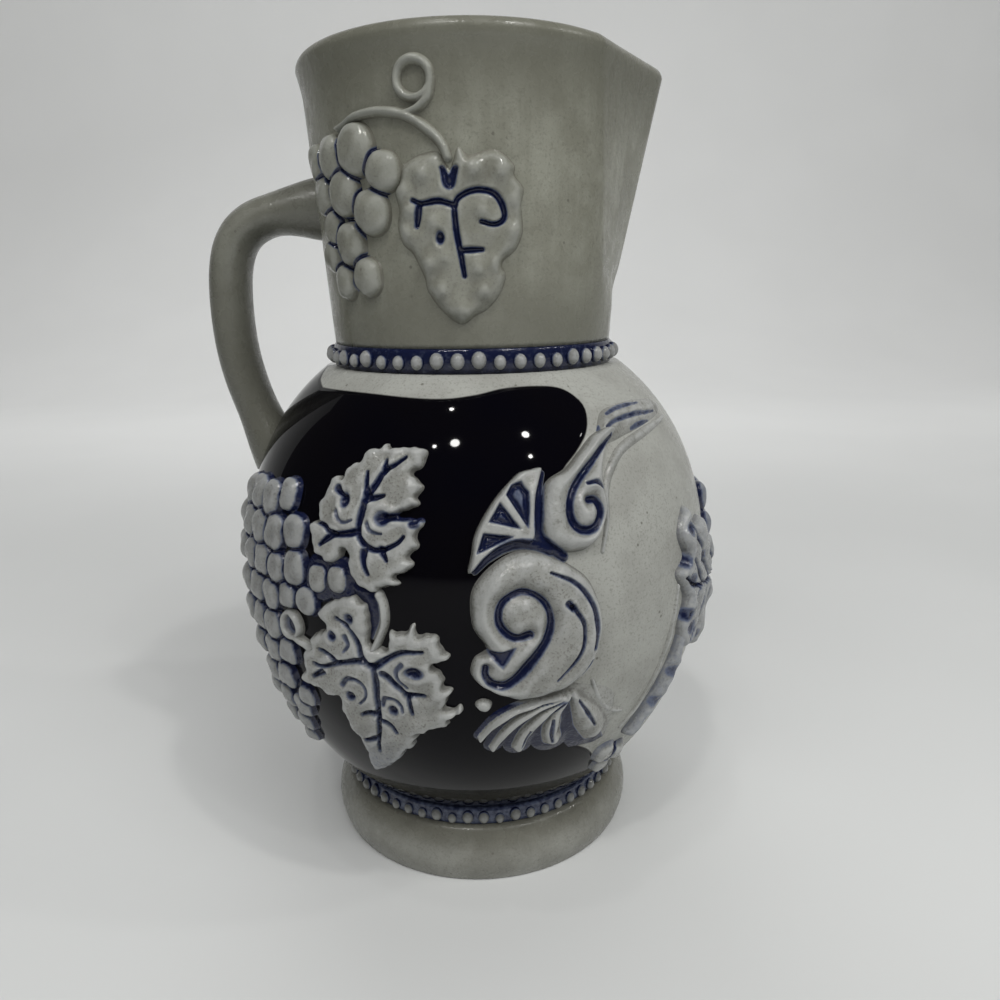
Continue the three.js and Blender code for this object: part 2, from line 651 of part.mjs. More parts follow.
const FAN = [
  [-1.6, 13.4], [1.8, 15], [5.5, 16.9], [8.6, 16.9], [10.2, 18], [10.4, 22], [11.2, 26.6],
  [12.6, 29.8], [8, 28.8], [4, 25.5], [1.2, 22], [-0.8, 18],
];
const FAN_WINDOWS = [
  [[5.6, 25], [9, 25.6], [8.7, 19.8]],
  [[2.2, 20.9], [4.1, 23.4], [7.3, 19.4]],
  [[0.2, 16.4], [1.1, 18.8], [5.6, 18.3]],
];
const UPPER_SCROLL = [
  [11.2, 17.8], [12.8, 16], [15.5, 14.8], [19, 14.9], [22, 16.6], [24.2, 20], [24.6, 24], [24.2, 29],
  [23.2, 31.8], [20, 30.4], [17.5, 28.8], [13.8, 27.4], [12.2, 25.6], [11.2, 22],
];
const LOWER_SCROLL = [
  [-1.5, 7], [-1, 3], [1, -0.4], [-1, -2.2], [-1.7, -5], [-0.4, -7.3], [2, -9], [5, -10.4],
  [8, -10.7], [12, -10.2], [16.5, -8.8], [19.5, -6], [21.3, -2], [21.7, 2], [21, 6], [19, 10],
  [16, 12.6], [13, 14.4], [10, 15.6], [7, 15.9], [4, 14.9], [1, 12.7], [-1, 10],
];
const FEATHER = [
  [15.6, -11], [11.6, -11.7], [6.6, -12.2], [2.6, -14.6], [-0.8, -19.8], [3.4, -16.8], [1.2, -21.4],
  [2.2, -23], [3.5, -21.6], [4.8, -18.2], [4.9, -22], [6.7, -23.9], [8.8, -22.4], [9.8, -18.4],
  [10.6, -21.8], [13.4, -24], [16.6, -22.4], [16.2, -18.4], [18.6, -21], [22, -24.6], [25, -25.2],
  [26, -22.6], [25, -18.6], [21.6, -14.4], [18.4, -11],
];
const PEARL = [0.4, -12, 1.2];
const PEARL_WEB = [[-1, -12.8], [0.4, -13.6], [1.8, -12.8], [1.8, -11.2], [0.4, -10.4], [-1, -11.2]];
const PLUME = [
  [26.4, 32.6], [30, 32.4], [36, 33.4], [46, 34.6], [57, 35.6], [60.5, 37], [57, 38.2], [46, 38.4],
  [36, 37.6], [30.5, 36.2],
];
const KNOT = [[29, -31, 1.9], [33, -32.4, 1.9], [30.6, -35.7, 1.9]];
const KNOT_WEB = [
  [26.4, -31], [27.6, -34], [28.2, -36.6], [30.8, -38], [33.4, -36.4], [35.6, -33.4], [34.8, -30.4],
  [31.6, -29.4], [28.6, -28.4],
];

const FRONT_LEAF = [
  [-13.6, 2], [-16, 8.4], [-21, 9], [-22.6, 13.8], [-28.4, 13.4], [-30.2, 17.4], [-34.6, 13],
  [-33, 8.2], [-36.4, 5.4], [-33, 0], [-34.8, -5.6], [-32.8, -11], [-28.2, -9.4], [-25.4, -13.4],
  [-20.2, -10.6], [-18, -6.2], [-13.8, -4.4],
];
const FRONT_BUNCH_CORNER = [8.7, -3.7];
const FRONT_ROW_COUNTS = [[3, 1], [4, 0], [3, 1], [4, 0], [3, 1], [2, 2], [1, 3]];

function fanShape() {
  const shape = outline(FAN);
  shape.holes.push(...FAN_WINDOWS.map(outline));
  return shape;
}

function neckStem() {
  const curl = [...NECK_CURL_TAIL, ...curlPoints(NECK_CURL)];
  return joined([cord(NECK_STEM, onNeck), cord(curl, onNeck)]);
}

function bellyTendril() {
  return cord([...TENDRIL_TAIL, ...curlPoints(TENDRIL_CURL)], onBelly);
}

// Materials and the assembly

function finish(color, roughness) {
  return () => new THREE.MeshStandardMaterial({ color, roughness, metalness: 0 });
}
const greyGlaze = finish('#9d9e95', 0.4);
const paleGlaze = finish('#b4b6b0', 0.4);
const darkGlaze = finish('#0c0d16', 0.12);
const cobaltGlaze = finish('#5b6684', 0.4);

const pitcher = new THREE.Group();

function add(name, geometry, material) {
  const mesh = new THREE.Mesh(closedMesh(geometry), material());
  mesh.name = name;
  pitcher.add(mesh);
}

// The piece on the right side and its mirror image on the left side
function addPair(name, geometry, material) {
  add(`${name}_right`, geometry, material);
  const mirrored = closedMesh(geometry).scale(1, -1, 1);
  mirrored.setIndex(Array.from(mirrored.index.array).reverse());
  add(`${name}_left`, mirrored, material);
}

add('foot', footGeometry(), greyGlaze);
add('belly', bellyGeometry(), darkGlaze);
add('neck', neckGeometry(), greyGlaze);
add('handle', handleGeometry(), greyGlaze);
add('foot_bead_band', bandGeometry(
  footSeatRadius, BELLY_FOOT_RADIUS + FOOT_BAND_PROUD, FOOT_HEIGHT, FOOT_BAND_HEIGHT,
  FOOT_BEAD_RADIUS, FOOT_BEAD_PITCH,
), cobaltGlaze);
add('neck_bead_band', bandGeometry(
  neckSeatRadius, NECK_BASE_RADIUS + NECK_BAND_PROUD, bellyTop, NECK_BAND_HEIGHT,
  NECK_BEAD_RADIUS, NECK_BEAD_PITCH,
), cobaltGlaze);

addPair('neck_leaf', relief(outline(NECK_LEAF), onNeck), greyGlaze);
addPair('neck_grapes', bunch(NECK_GRAPES, NECK_GRAPE_WEB, onNeck), greyGlaze);
addPair('neck_stem', neckStem(), greyGlaze);

addPair('belly_upper_leaf', relief(outline(UPPER_LEAF), onBelly), paleGlaze);
addPair('belly_lower_leaf', relief(outline(LOWER_LEAF), onBelly), paleGlaze);
addPair('belly_stalk', cord(LEAF_STALK, onBelly), paleGlaze);
addPair('belly_tendril', bellyTendril(), paleGlaze);
addPair('belly_grapes', grapeBunch(BELLY_ROW_COUNTS, BELLY_BUNCH_CORNER, onBelly), paleGlaze);
addPair('belly_small_grapes', bunch(SMALL_GRAPES, SMALL_GRAPE_WEB, onBelly), paleGlaze);

addPair('border_fan', relief(fanShape(), onBelly), paleGlaze);
addPair('border_upper_scroll', relief(roundOutline(UPPER_SCROLL), onBelly), paleGlaze);
addPair('border_lower_scroll', relief(roundOutline(LOWER_SCROLL), onBelly), paleGlaze);
addPair('border_feather', relief(outline(FEATHER), onBelly), paleGlaze);
addPair('border_pearl', bunch([PEARL], PEARL_WEB, onBelly), paleGlaze);
addPair('border_plume', relief(roundOutline(PLUME), onBelly), paleGlaze);
addPair('border_knot', bunch(KNOT, KNOT_WEB, onBelly), paleGlaze);

addPair('front_leaf', relief(outline(FRONT_LEAF), onFront), paleGlaze);
add('front_grapes', grapeBunch(FRONT_ROW_COUNTS, FRONT_BUNCH_CORNER, onFront), cobaltGlaze);

export default pitcher;
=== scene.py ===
# Salt-glazed stoneware pitcher: glazes, pressed reliefs, floor, light and camera.
# Sizes are in millimetres, as on the solids, and become metres when a mesh is made.
# Reliefs are drawn on the unrolled wall: u runs round it from the middle of the right side
# towards the pouring lip, v runs up it, and h stands off it.

import math

import bpy
import numpy as np
from mathutils import Matrix, Vector


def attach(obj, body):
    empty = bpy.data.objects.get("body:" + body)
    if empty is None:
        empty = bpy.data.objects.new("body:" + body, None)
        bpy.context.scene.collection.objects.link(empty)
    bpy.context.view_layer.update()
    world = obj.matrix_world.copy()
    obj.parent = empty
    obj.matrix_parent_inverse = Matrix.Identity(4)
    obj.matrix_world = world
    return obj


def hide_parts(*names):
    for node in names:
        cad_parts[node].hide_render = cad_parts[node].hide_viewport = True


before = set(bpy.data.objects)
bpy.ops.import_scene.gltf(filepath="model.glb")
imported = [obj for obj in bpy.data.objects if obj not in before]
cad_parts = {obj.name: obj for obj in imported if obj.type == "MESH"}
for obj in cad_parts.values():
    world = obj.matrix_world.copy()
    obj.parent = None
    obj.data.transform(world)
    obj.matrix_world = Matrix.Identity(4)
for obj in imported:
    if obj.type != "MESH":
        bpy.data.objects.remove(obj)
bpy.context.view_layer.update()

METRES = 0.001

# Foot
FOOT_BASE_RADIUS = 33.6
FOOT_BULGE = 2.2
FOOT_EDGE = 0.8
FOOT_HEIGHT = 11.5
FOOT_TOP_RADIUS = 31.6
FLOOR_THICKNESS = 6.0

# Belly
BELLY_BOTTOM = 15.3
GIRTH_HEIGHT = 60.8
BELLY_TOP = 103.6
BELLY_RADIUS = 49.6
BELLY_FOOT_RADIUS = 30.4
BELLY_TOP_RADIUS = 30.7
BELLY_WALL = 5.0
LOWER_FULLNESS = 2.0
UPPER_FULLNESS = 2.2

# Neck and lip
NECK_BOTTOM = 108.1
RIM_HEIGHT = 160.0
NECK_BASE_RADIUS = 28.6
NECK_TOP_RADIUS = 32.2
NECK_WALL = 4.0
RIM_FLARE = 1.3
RIM_FLARE_HEIGHT = 8.0
LIP_REACH = 5.7
LIP_DROP = 46.0
LIP_CREASE_AT_RIM = 45.0
LIP_CREASE_AT_FOOT = 30.0
LIP_FADE = 0.2
LIP_SOFTNESS = 1.0

# Beaded bands
FOOT_SEAM = 13.4
FOOT_SEAT_RADIUS = 29.4
FOOT_BAND_RADIUS = 31.2
FOOT_BAND_HALF = 1.9
FOOT_BEADS = 60
FOOT_BEAD_RADIUS = 1.35
NECK_SEAM = 105.85
NECK_SEAT_RADIUS = 27.6
NECK_BAND_RADIUS = 29.2
NECK_BAND_HALF = 2.25
NECK_BEADS = 49
NECK_BEAD_RADIUS = 1.6

# Handle
HANDLE_REACH = 50.0
HANDLE_TOP = 134.5
HANDLE_BEND = 114.5
HANDLE_FOOT_RISE = 24.0
HANDLE_FOOT_LEAN = 18.0
HANDLE_SQUARENESS = 0.82
HANDLE_SLACK = 0.42
HANDLE_THICKNESS = 8.2
HANDLE_WIDTH = 12.5
HANDLE_ROOT_FLARE = 0.55
HANDLE_FOOT_FLARE = 0.25
HANDLE_FLARE_SHARE = 0.2
HANDLE_SINK = 3.0

# Reliefs
RELIEF_GRID = 0.22
RELIEF_SUNK = 0.5
RELIEF_BACK = 0.9
LEAF_HEIGHT = 2.0
LEAF_SWELLING = 0.55
LEAF_ROUNDING = 0.8
LEAF_TEETH = 0.07
NECK_LEAF_HEIGHT = 1.3
NECK_LEAF_SWELLING = 0.4
NECK_LEAF_ROUNDING = 1.6
FRONT_LEAF_ROUNDING = 1.4
TEETH_WAVES = ((2.9, 1.1, 0.0), (-1.3, 3.1, 1.0))
FIELD_ROUNDING = 2.2
VEIN = (0.6, 0.28)
FINE_VEIN = (0.45, 0.2)
GROOVE_FLOOR = 0.3
LIP_SHARE = 0.2
LIP_PLACE = 1.8
LIP_SPREAD = 0.6
BRUSH_FADE = (0.45, 1.7)
RIPPLE_HEIGHT = 0.08
RIPPLE_WAVES = ((0.9, 0.5, 0.0), (-0.7, 1.3, 2.0), (1.7, -0.9, 1.0))
CREST_CELLS = 6
CREST_RANGE = 0.9
SCROLL_BASE = 0.8
SCROLL_ROLL = 2.0
WEB_HEIGHT = 0.6
WEB_REACH = 0.35
WEB_ROUNDING = 0.8
CREASE = (0.3, 0.95)
CREASE_START = (0.6, 0.85)
RIM_START = (0.85, 1.02)
GRAPE_HEIGHT = 1.3
GRAPE_SQUARENESS = 2.6
GRAPE_FULLNESS = 1.09
GRAPE_ROUNDNESS = (2.4, 0.6)
USUAL_GRAPE = 2.8
NECK_GRAPE_HEIGHT = 1.45
NECK_GRAPE_SQUARENESS = 2.15
PEARL_HEIGHT = 2.0
PEARL_SQUARENESS = 2.0
FAN_HEIGHT = 1.9
FEATHER_HEIGHT = 1.8
PLUME_HEIGHT = 0.8
FIELD_RIM_HEIGHT = 0.45
SWAG_HEIGHT = 2.0
STRIP_EDGE = 0.5
NECK_STRIP_COBALT = 0.8
FOOT_STRIP_COBALT = 0.62
BEAD_SINK = 0.1
BEAD_OVAL = (0.82, 0.95, 0.95)
BEAD_SPREAD = 0.12
BEAD_WANDER = 0.3
BEAD_COBALT = (0.05, 0.55)

# Facets
WALL_COLUMNS = 288
WALL_STEP = 1.0
ARC_SAMPLES = 800
UPPER_BORE_SAMPLES = 40
LOWER_BORE_SAMPLES = 60
LINE_STEPS = 5
CURL_STEPS = 14
HANDLE_SIDES = 40
HANDLE_RINGS = 120
HANDLE_SAMPLES = 200
BEAD_SEGMENTS = 14
BEAD_RINGS = 9
FAR = 1e6


# Numbers

def smoothstep(value, low, high):
    share = np.clip((value - low) / (high - low), 0, 1)
    return share * share * (3 - 2 * share)


def mix(start, end, share):
    return start + (end - start) * share


# Walls

def oval_arc(radius, end_radius, rise, fullness, direction, samples=ARC_SAMPLES):
    """Radii and heights of a quarter oval from the widest line to an end radius."""
    power = 2 / fullness
    end_angle = math.acos((end_radius / radius) ** (fullness / 2))
    half = direction * rise / math.sin(end_angle) ** power
    angle = np.linspace(0, end_angle, samples)
    return radius * np.cos(angle) ** power, GIRTH_HEIGHT + half * np.sin(angle) ** power


def belly_table():
    """Arc length from the widest line, radius, height and outward direction of the belly's wall."""
    low_radius, low_height = oval_arc(
        BELLY_RADIUS, BELLY_FOOT_RADIUS, GIRTH_HEIGHT - BELLY_BOTTOM, LOWER_FULLNESS, -1)
    top_radius, top_height = oval_arc(
        BELLY_RADIUS, BELLY_TOP_RADIUS, BELLY_TOP - GIRTH_HEIGHT, UPPER_FULLNESS, 1)
    radius = np.concatenate([low_radius[::-1], top_radius[1:]])
    height = np.concatenate([low_height[::-1], top_height[1:]])
    length = np.concatenate([[0], np.cumsum(np.hypot(np.diff(radius), np.diff(height)))])
    length -= length[ARC_SAMPLES - 1]
    return length, radius, height, np.gradient(height, length), -np.gradient(radius, length)


BELLY = belly_table()
BELLY_LOW, BELLY_HIGH = BELLY[0][0], BELLY[0][-1]


def round_the_axis(radius, height, angle):
    return np.stack([radius * np.cos(angle), radius * np.sin(angle), height], axis=-1)


def belly_profile(v, h):
    length, radius, height, out_radius, out_height = BELLY
    wall_radius = np.interp(v, length, radius) + h * np.interp(v, length, out_radius)
    wall_height = np.interp(v, length, height) + h * np.interp(v, length, out_height)
    return wall_radius, wall_height


def on_belly(u, v, h):
    radius, height = belly_profile(v, h)
    return round_the_axis(radius, height, u / BELLY_RADIUS - math.pi / 2)


def on_front(u, v, h):
    radius, height = belly_profile(v, h)
    return round_the_axis(radius, height, u / BELLY_RADIUS)


def neck_radius(height):
    flare = np.maximum(0, 1 - (RIM_HEIGHT - height) / RIM_FLARE_HEIGHT)
    share = (height - NECK_BOTTOM) / (RIM_HEIGHT - NECK_BOTTOM)
    return mix(NECK_BASE_RADIUS, NECK_TOP_RADIUS, share) + RIM_FLARE * flare ** 2


def on_neck(u, v, h):
    height = NECK_BOTTOM + v
    mean_radius = (NECK_BASE_RADIUS + NECK_TOP_RADIUS) / 2
    return round_the_axis(neck_radius(height) + h, height, u / mean_radius - math.pi / 2)


# Meshes

def new_piece(name, points, faces, material, attributes=None):
    """A smooth mesh object at the origin, with float or vector attributes on its points."""
    mesh = bpy.data.meshes.new(name)
    mesh.from_pydata((points * METRES).tolist(), [], faces)
    for key, values in (attributes or {}).items():
        vector = values.ndim == 2
        kind, field = ("FLOAT_VECTOR", "vector") if vector else ("FLOAT", "value")
        mesh.attributes.new(key, kind, "POINT").data.foreach_set(field, values.astype(float).ravel())
    mesh.shade_smooth()
    mesh.materials.append(material)
    piece = bpy.data.objects.new(name, mesh)
    bpy.context.scene.collection.objects.link(piece)
    return piece


def settle(piece, slot, *nodes):
    """Lets a piece ride on the body and stand for its nodes; its slot is not used."""
    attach(piece, "root")
    if nodes:
        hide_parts(*nodes)


def turned_faces(rows, columns, closed):
    """Quads between the rows of a turned wall, each row being one profile point turned round."""
    row = np.arange(rows if closed else rows - 1)[:, None]
    column = np.arange(columns)[None, :]
    after = (row + 1) % rows
    beside = (column + 1) % columns
    near = row * columns
    far = after * columns
    corners = (near + column, near + beside, far + beside, far + column)
    return np.stack(corners, axis=-1).reshape(-1, 4).tolist()


def turned_points(profile):
    profile = np.array(profile, float)
    angle = np.arange(WALL_COLUMNS) * 2 * math.pi / WALL_COLUMNS
    return round_the_axis(profile[:, :1], profile[:, 1:] + 0 * angle, angle[None, :])


def profile_steps(start, end):
    return np.linspace(start, end, max(2, round(abs(end - start) / WALL_STEP) + 1))


def corner_filled(kept):
    """Fills in cells, so that no two kept cells touch only at a corner."""
    kept = kept.copy()
    while True:
        a, b, c, d = kept[:-1, :-1], kept[:-1, 1:], kept[1:, 1:], kept[1:, :-1]
        touching = (a & c & ~b & ~d) | (b & d & ~a & ~c)
        if not touching.any():
            return kept
        for corner in (a, b, c, d):
            corner[touching] = True


# Lines on the unrolled wall

def smooth_line(points, closed=False):
    """A rounded line through given points."""
    points = np.array(points, float)
    if closed:
        ends = np.vstack([points[-1:], points, points[:2]])
    else:
        ends = np.vstack([2 * points[:1] - points[1:2], points, 2 * points[-1:] - points[-2:-1]])
    share = np.linspace(0, 1, LINE_STEPS, endpoint=False)[:, None]
    spans = []
    for a, b, c, d in zip(ends, ends[1:], ends[2:], ends[3:]):
        bend = 2 * a - 5 * b + 4 * c - d
        twist = 3 * b - a - 3 * c + d
        spans.append(b + 0.5 * ((c - a) * share + bend * share ** 2 + twist * share ** 3))
    line = np.vstack(spans)
    return line if closed else np.vstack([line, points[-1:]])


def segment_gap(u, v, start, end):
    """Distance to a segment, and how far along it the nearest point lies."""
    run_u, run_v = end - start
    share = np.clip(((u - start[0]) * run_u + (v - start[1]) * run_v) / (run_u ** 2 + run_v ** 2), 0, 1)
    return np.hypot(u - start[0] - share * run_u, v - start[1] - share * run_v), share


def line_gap(u, v, line):
    gap = np.full(u.shape, FAR)
    for start, end in zip(line, line[1:]):
        gap = np.minimum(gap, segment_gap(u, v, start, end)[0])
    return gap


def inside_depth(u, v, outline):
    """Depth inside a closed outline, negative outside it."""
    ring = np.vstack([outline, outline[:1]])
    crossings = np.zeros(u.shape, int)
    for (start_u, start_v), (end_u, end_v) in zip(ring, ring[1:]):
        if start_v == end_v:
            continue
        crossing_u = start_u + (v - start_v) * (end_u - start_u) / (end_v - start_v)
        crossings += ((start_v > v) != (end_v > v)) & (u < crossing_u)
    gap = line_gap(u, v, ring)
    return np.where(crossings % 2 == 1, gap, -gap)


def curl_line(centre, outer, inner, start, turns):
    """Points of a curl that winds in towards its centre, with angles in turns."""
    share = np.linspace(0, 1, round(abs(turns) * CURL_STEPS) + 1)
    angle = (start + turns * share) * 2 * math.pi
    radius = mix(outer, inner, share)
    return np.stack([centre[0] + radius * np.cos(angle), centre[1] + radius * np.sin(angle)], axis=-1)


def rounded(depth, radius):
    """A quarter-round rise, from 0 at an edge to 1 at a radius further in."""
    return np.sin(np.clip(depth / radius, 0, 1) * math.pi / 2)


def blurred(values, cells):
    """Mean of the values round each point of a grid."""
    for _ in range(2):
        padded = np.pad(values, ((cells, cells), (0, 0)), "edge")
        shifted = [padded[step:step + len(values)] for step in range(2 * cells + 1)]
        values = np.mean(shifted, axis=0).T
    return values


class Relief:
    """A relief on a grid over the unrolled wall: its height off the wall and its cobalt."""

    def __init__(self, points, margin=1.0):
        low = np.min(points, axis=0) - margin
        high = np.max(points, axis=0) + margin
        across = np.arange(low[0], high[0], RELIEF_GRID)
        along = np.arange(low[1], high[1], RELIEF_GRID)
        self.u, self.v = np.meshgrid(across, along)
        self.height = np.full(self.u.shape, -RELIEF_SUNK)
        self.cobalt = np.zeros(self.u.shape)

    def inside(self, outline):
        return inside_depth(self.u, self.v, smooth_line(outline, closed=True))

    def gap(self, line):
        return line_gap(self.u, self.v, smooth_line(line))

    def stroke(self, line, widths):
        """Distance from a brushed line, counted in the half widths that it has along its length."""
        line = smooth_line(line)
        length = np.concatenate([[0], np.cumsum(np.hypot(*np.diff(line, axis=0).T))])
        half = np.interp(length / length[-1], np.linspace(0, 1, len(widths)), widths)
        gap = np.full(self.u.shape, FAR)
        for start, end, wide, wide_end in zip(line, line[1:], half, half[1:]):
            distance, share = segment_gap(self.u, self.v, start, end)
            gap = np.minimum(gap, distance / mix(wide, wide_end, share))
        return gap

    def oval(self, centre, half_u, half_v, squareness=2.0):
        """Distance from the middle of an oval, 1 at its edge, squarer than an ellipse above 2."""
        across = np.abs(self.u - centre[0]) / half_u
        along = np.abs(self.v - centre[1]) / half_v
        return (across ** squareness + along ** squareness) ** (1 / squareness)

    def pillow(self, depth, rounding, height):
        """Raises a rounded form, steep at its edge and flat further in."""
        slope = depth * height * math.pi / 2 / rounding
        self.height = np.maximum(self.height, np.where(depth < 0, slope, height * rounded(depth, rounding)))

    def ridge(self, line, widths, height):
        """Raises a half-round cord along a brushed line."""
        self.pillow(1 - self.stroke(line, widths), 1.0, height)

    def lift(self, amount):
        """Raises the relief where it already stands off the wall."""
        self.height = np.where(self.height > 0, self.height + amount, self.height)

    def swell(self, centre, half_u, half_v, height):
        self.lift(height * np.exp(-self.oval(centre, half_u, half_v) ** 2))

    def paint(self, gap, strength=1.0):
        """Lays cobalt within a gap of 1, fading at its edge."""
        self.cobalt = np.maximum(self.cobalt, strength * (1 - smoothstep(gap, *BRUSH_FADE)))

    def wash(self, mask):
        self.cobalt = np.maximum(self.cobalt, mask)

    def press(self, gap, depth, cobalt):
        """Presses the relief in within a gap of 1, raises a lip round it and lays cobalt in it."""
        lip = LIP_SHARE * np.exp(-((gap - LIP_PLACE) / LIP_SPREAD) ** 2)
        floor = np.minimum(self.height, GROOVE_FLOOR)
        self.lift(depth * (lip - np.exp(-gap ** 2)))
        self.height = np.maximum(self.height, floor)
        self.paint(gap, cobalt)

    def groove(self, line, widths, depth, cobalt=1.0):
        self.press(self.stroke(line, widths), depth, cobalt)

    def pit(self, centre, half_u, half_v, depth, cobalt=1.0):
        self.press(self.oval(centre, half_u, half_v), depth, cobalt)

    def mesh_parts(self, place):
        """Points, quads and point values of a closed sheet on a wall, sunk a little into it."""
        waves = sum(np.sin(a * self.u + b * self.v + c) for a, b, c in RIPPLE_WAVES)
        height = self.height + RIPPLE_HEIGHT * waves * rounded(self.height, 1.0)
        height = np.maximum(height, -RELIEF_SUNK)
        stood = np.maximum(height, 0)
        # Crest: how far a point stands above the mean round it; high crests show pale wear, hollows the
        # darker colour of gathered glaze and painted shade.
        crest = np.clip(0.5 + (stood - blurred(stood, CREST_CELLS)) / CREST_RANGE, 0, 1)
        raised = height > -RELIEF_SUNK
        kept = corner_filled(raised[:-1, :-1] | raised[1:, :-1] | raised[:-1, 1:] | raised[1:, 1:])
        index = np.arange(height.size).reshape(height.shape)
        a, b, c, d = index[:-1, :-1], index[:-1, 1:], index[1:, 1:], index[1:, :-1]
        front = np.stack([a, b, c, d], axis=-1)[kept]
        quads = [front, front[:, ::-1] + height.size]
        around = np.pad(kept, 1)
        sides = (
            (a, b, around[:-2, 1:-1]),
            (b, c, around[1:-1, 2:]),
            (c, d, around[2:, 1:-1]),
            (d, a, around[1:-1, :-2]),
        )
        for start, end, beyond in sides:
            edge = kept & ~beyond
            first, last = start[edge], end[edge]
            quads.append(np.stack([last, first, first + height.size, last + height.size], axis=-1))
        used, quads = np.unique(np.vstack(quads), return_inverse=True)
        front_points = place(self.u, self.v, height).reshape(-1, 3)
        back_points = place(self.u, self.v, np.full_like(height, -RELIEF_BACK)).reshape(-1, 3)
        behind = np.zeros(height.size)
        values = {
            "cobalt": np.concatenate([self.cobalt.ravel(), behind])[used],
            "crest": np.concatenate([crest.ravel(), behind])[used],
        }
        return np.vstack([front_points, back_points])[used], quads.reshape(-1, 4), values


def mirrored(points, quads):
    return points * [1, -1, 1], quads[:, ::-1]


def add_relief_pair(name, relief, place, material, slot, replaced=True):
    """A relief on the right side, and its mirror image on the left side."""
    points, quads, values = relief.mesh_parts(place)
    for side in ("right", "left"):
        if side == "left":
            points, quads = mirrored(points, quads)
        piece = new_piece(f"glazed_{name}_{side}", points, quads.tolist(), material, values)
        settle(piece, slot, *([f"{name}_{side}"] if replaced else []))


# Node trees

def add_node(tree, kind, settings=None, inputs=None):
    """A node with its settings, and with its inputs set or linked."""
    node = tree.nodes.new(kind)
    for key, value in (settings or {}).items():
        setattr(node, key, value)
    for key, value in (inputs or {}).items():
        if isinstance(value, bpy.types.NodeSocket):
            tree.links.new(value, node.inputs[key])
        else:
            node.inputs[key].default_value = value
    return node


def add_sockets(tree, direction, sockets):
    for name, kind in sockets:
        tree.interface.new_socket(name, in_out=direction, socket_type=f"NodeSocket{kind}")


def noise(tree, vector, scale, detail=2.0, roughness=0.5):
    inputs = {"Vector": vector, "Scale": scale, "Detail": detail, "Roughness": roughness}
    return add_node(tree, "ShaderNodeTexNoise", None, inputs).outputs["Fac"]


def ramp(tree, value, low, high, start=0.0, end=1.0):
    """A smooth rise of a value between two levels."""
    inputs = {"Value": value, "From Min": low, "From Max": high, "To Min": start, "To Max": end}
    settings = {"interpolation_type": "SMOOTHSTEP"}
    return add_node(tree, "ShaderNodeMapRange", settings, inputs).outputs["Result"]


def blend_colour(tree, factor, start, end, kind="MIX"):
    settings = {"data_type": "RGBA", "blend_type": kind}
    return add_node(tree, "ShaderNodeMix", settings, {0: factor, 6: start, 7: end}).outputs[2]


def math_node(tree, operation, first, second):
    return add_node(tree, "ShaderNodeMath", {"operation": operation}, {0: first, 1: second}).outputs[0]


def millimetre_coordinates(tree):
    place = add_node(tree, "ShaderNodeTexCoord").outputs["Object"]
    inputs = {0: place, "Scale": 1 / METRES}
    return add_node(tree, "ShaderNodeVectorMath", {"operation": "SCALE"}, inputs).outputs[0]


# Finishes

RUN_STRETCH = (0.55, 0.55, 0.035)
PEEL_DEPTH = 0.2
SHADE_AMOUNT = 0.8
RELIEF_GLOSS = (0.08, 0.22)
WALL_GLOSS = (0.2, 0.34)
HANDLE_GLOSS = (0.22, 0.36)
PANEL_GLOSS = 0.04
PANEL_SPECULAR = 0.11
PANEL_THICKNESS = 4.0
PANEL_INK = (0.001, 0.001, 0.003, 1)
PANEL_INK_CLOUD = (0.0025, 0.002, 0.0025, 1)
IRON_SPECK = (0.1, 0.095, 0.08, 1)
COBALT_WASH = (0.09, 0.108, 0.16, 1)
COBALT_POOL = (0.005, 0.008, 0.032, 1)

# Heights between which a painted shade fades out upwards, and comes in again
NECK_SHADE = (108.0, 128.0, 140.0, 156.0)
FOOT_SHADE = (-20.0, -10.0, 4.5, 11.5)
HANDLE_SHADE = (100.0, 132.0, 160.0, 170.0)


def salt_glaze_group():
    """Grey salt glaze: clouds, runs, fine grain, sparse iron specks and an orange-peel skin."""
    tree = bpy.data.node_groups.new("salt_glaze", "ShaderNodeTree")
    add_sockets(tree, "INPUT", [
        ("Body", "Color"), ("Cloud", "Color"), ("Speck", "Color"), ("Runs", "Float"), ("Grain", "Float"),
        ("Gloss", "Float"), ("Satin", "Float")])
    add_sockets(tree, "OUTPUT", [("Color", "Color"), ("Roughness", "Float"), ("Height", "Float")])
    given = tree.nodes.new("NodeGroupInput").outputs
    place = millimetre_coordinates(tree)
    clouds = ramp(tree, noise(tree, place, 0.1, 3.0, 0.6), 0.38, 0.68)
    stretched = add_node(
        tree, "ShaderNodeVectorMath", {"operation": "MULTIPLY"}, {0: place, 1: RUN_STRETCH}).outputs[0]
    streaks = ramp(tree, noise(tree, stretched, 1.0, 3.0), 0.4, 0.7)
    runs = math_node(tree, "MULTIPLY", streaks, given["Runs"])
    fine = noise(tree, place, 2.3, 2.0, 0.6)
    grain = math_node(tree, "MULTIPLY", ramp(tree, fine, 0.5, 0.72), given["Grain"])
    cells = add_node(tree, "ShaderNodeTexVoronoi", None, {"Vector": place, "Scale": 0.24}).outputs
    specks = ramp(tree, cells["Distance"], 0.045, 0.085, 0.75, 0.0)
    colour = blend_colour(tree, clouds, given["Body"], given["Cloud"])
    colour = blend_colour(tree, runs, colour, given["Cloud"])
    colour = blend_colour(tree, grain, colour, given["Speck"])
    colour = blend_colour(tree, specks, colour, given["Speck"])
    peel = noise(tree, place, 0.9, 2.0)
    height = math_node(tree, "ADD", peel, math_node(tree, "MULTIPLY", fine, 0.5))
    roughness = ramp(tree, noise(tree, place, 0.35, 2.0), 0.35, 0.65, given["Gloss"], given["Satin"])
    finish = {"Color": colour, "Roughness": roughness, "Height": height}
    add_node(tree, "NodeGroupOutput", None, finish)
    return tree


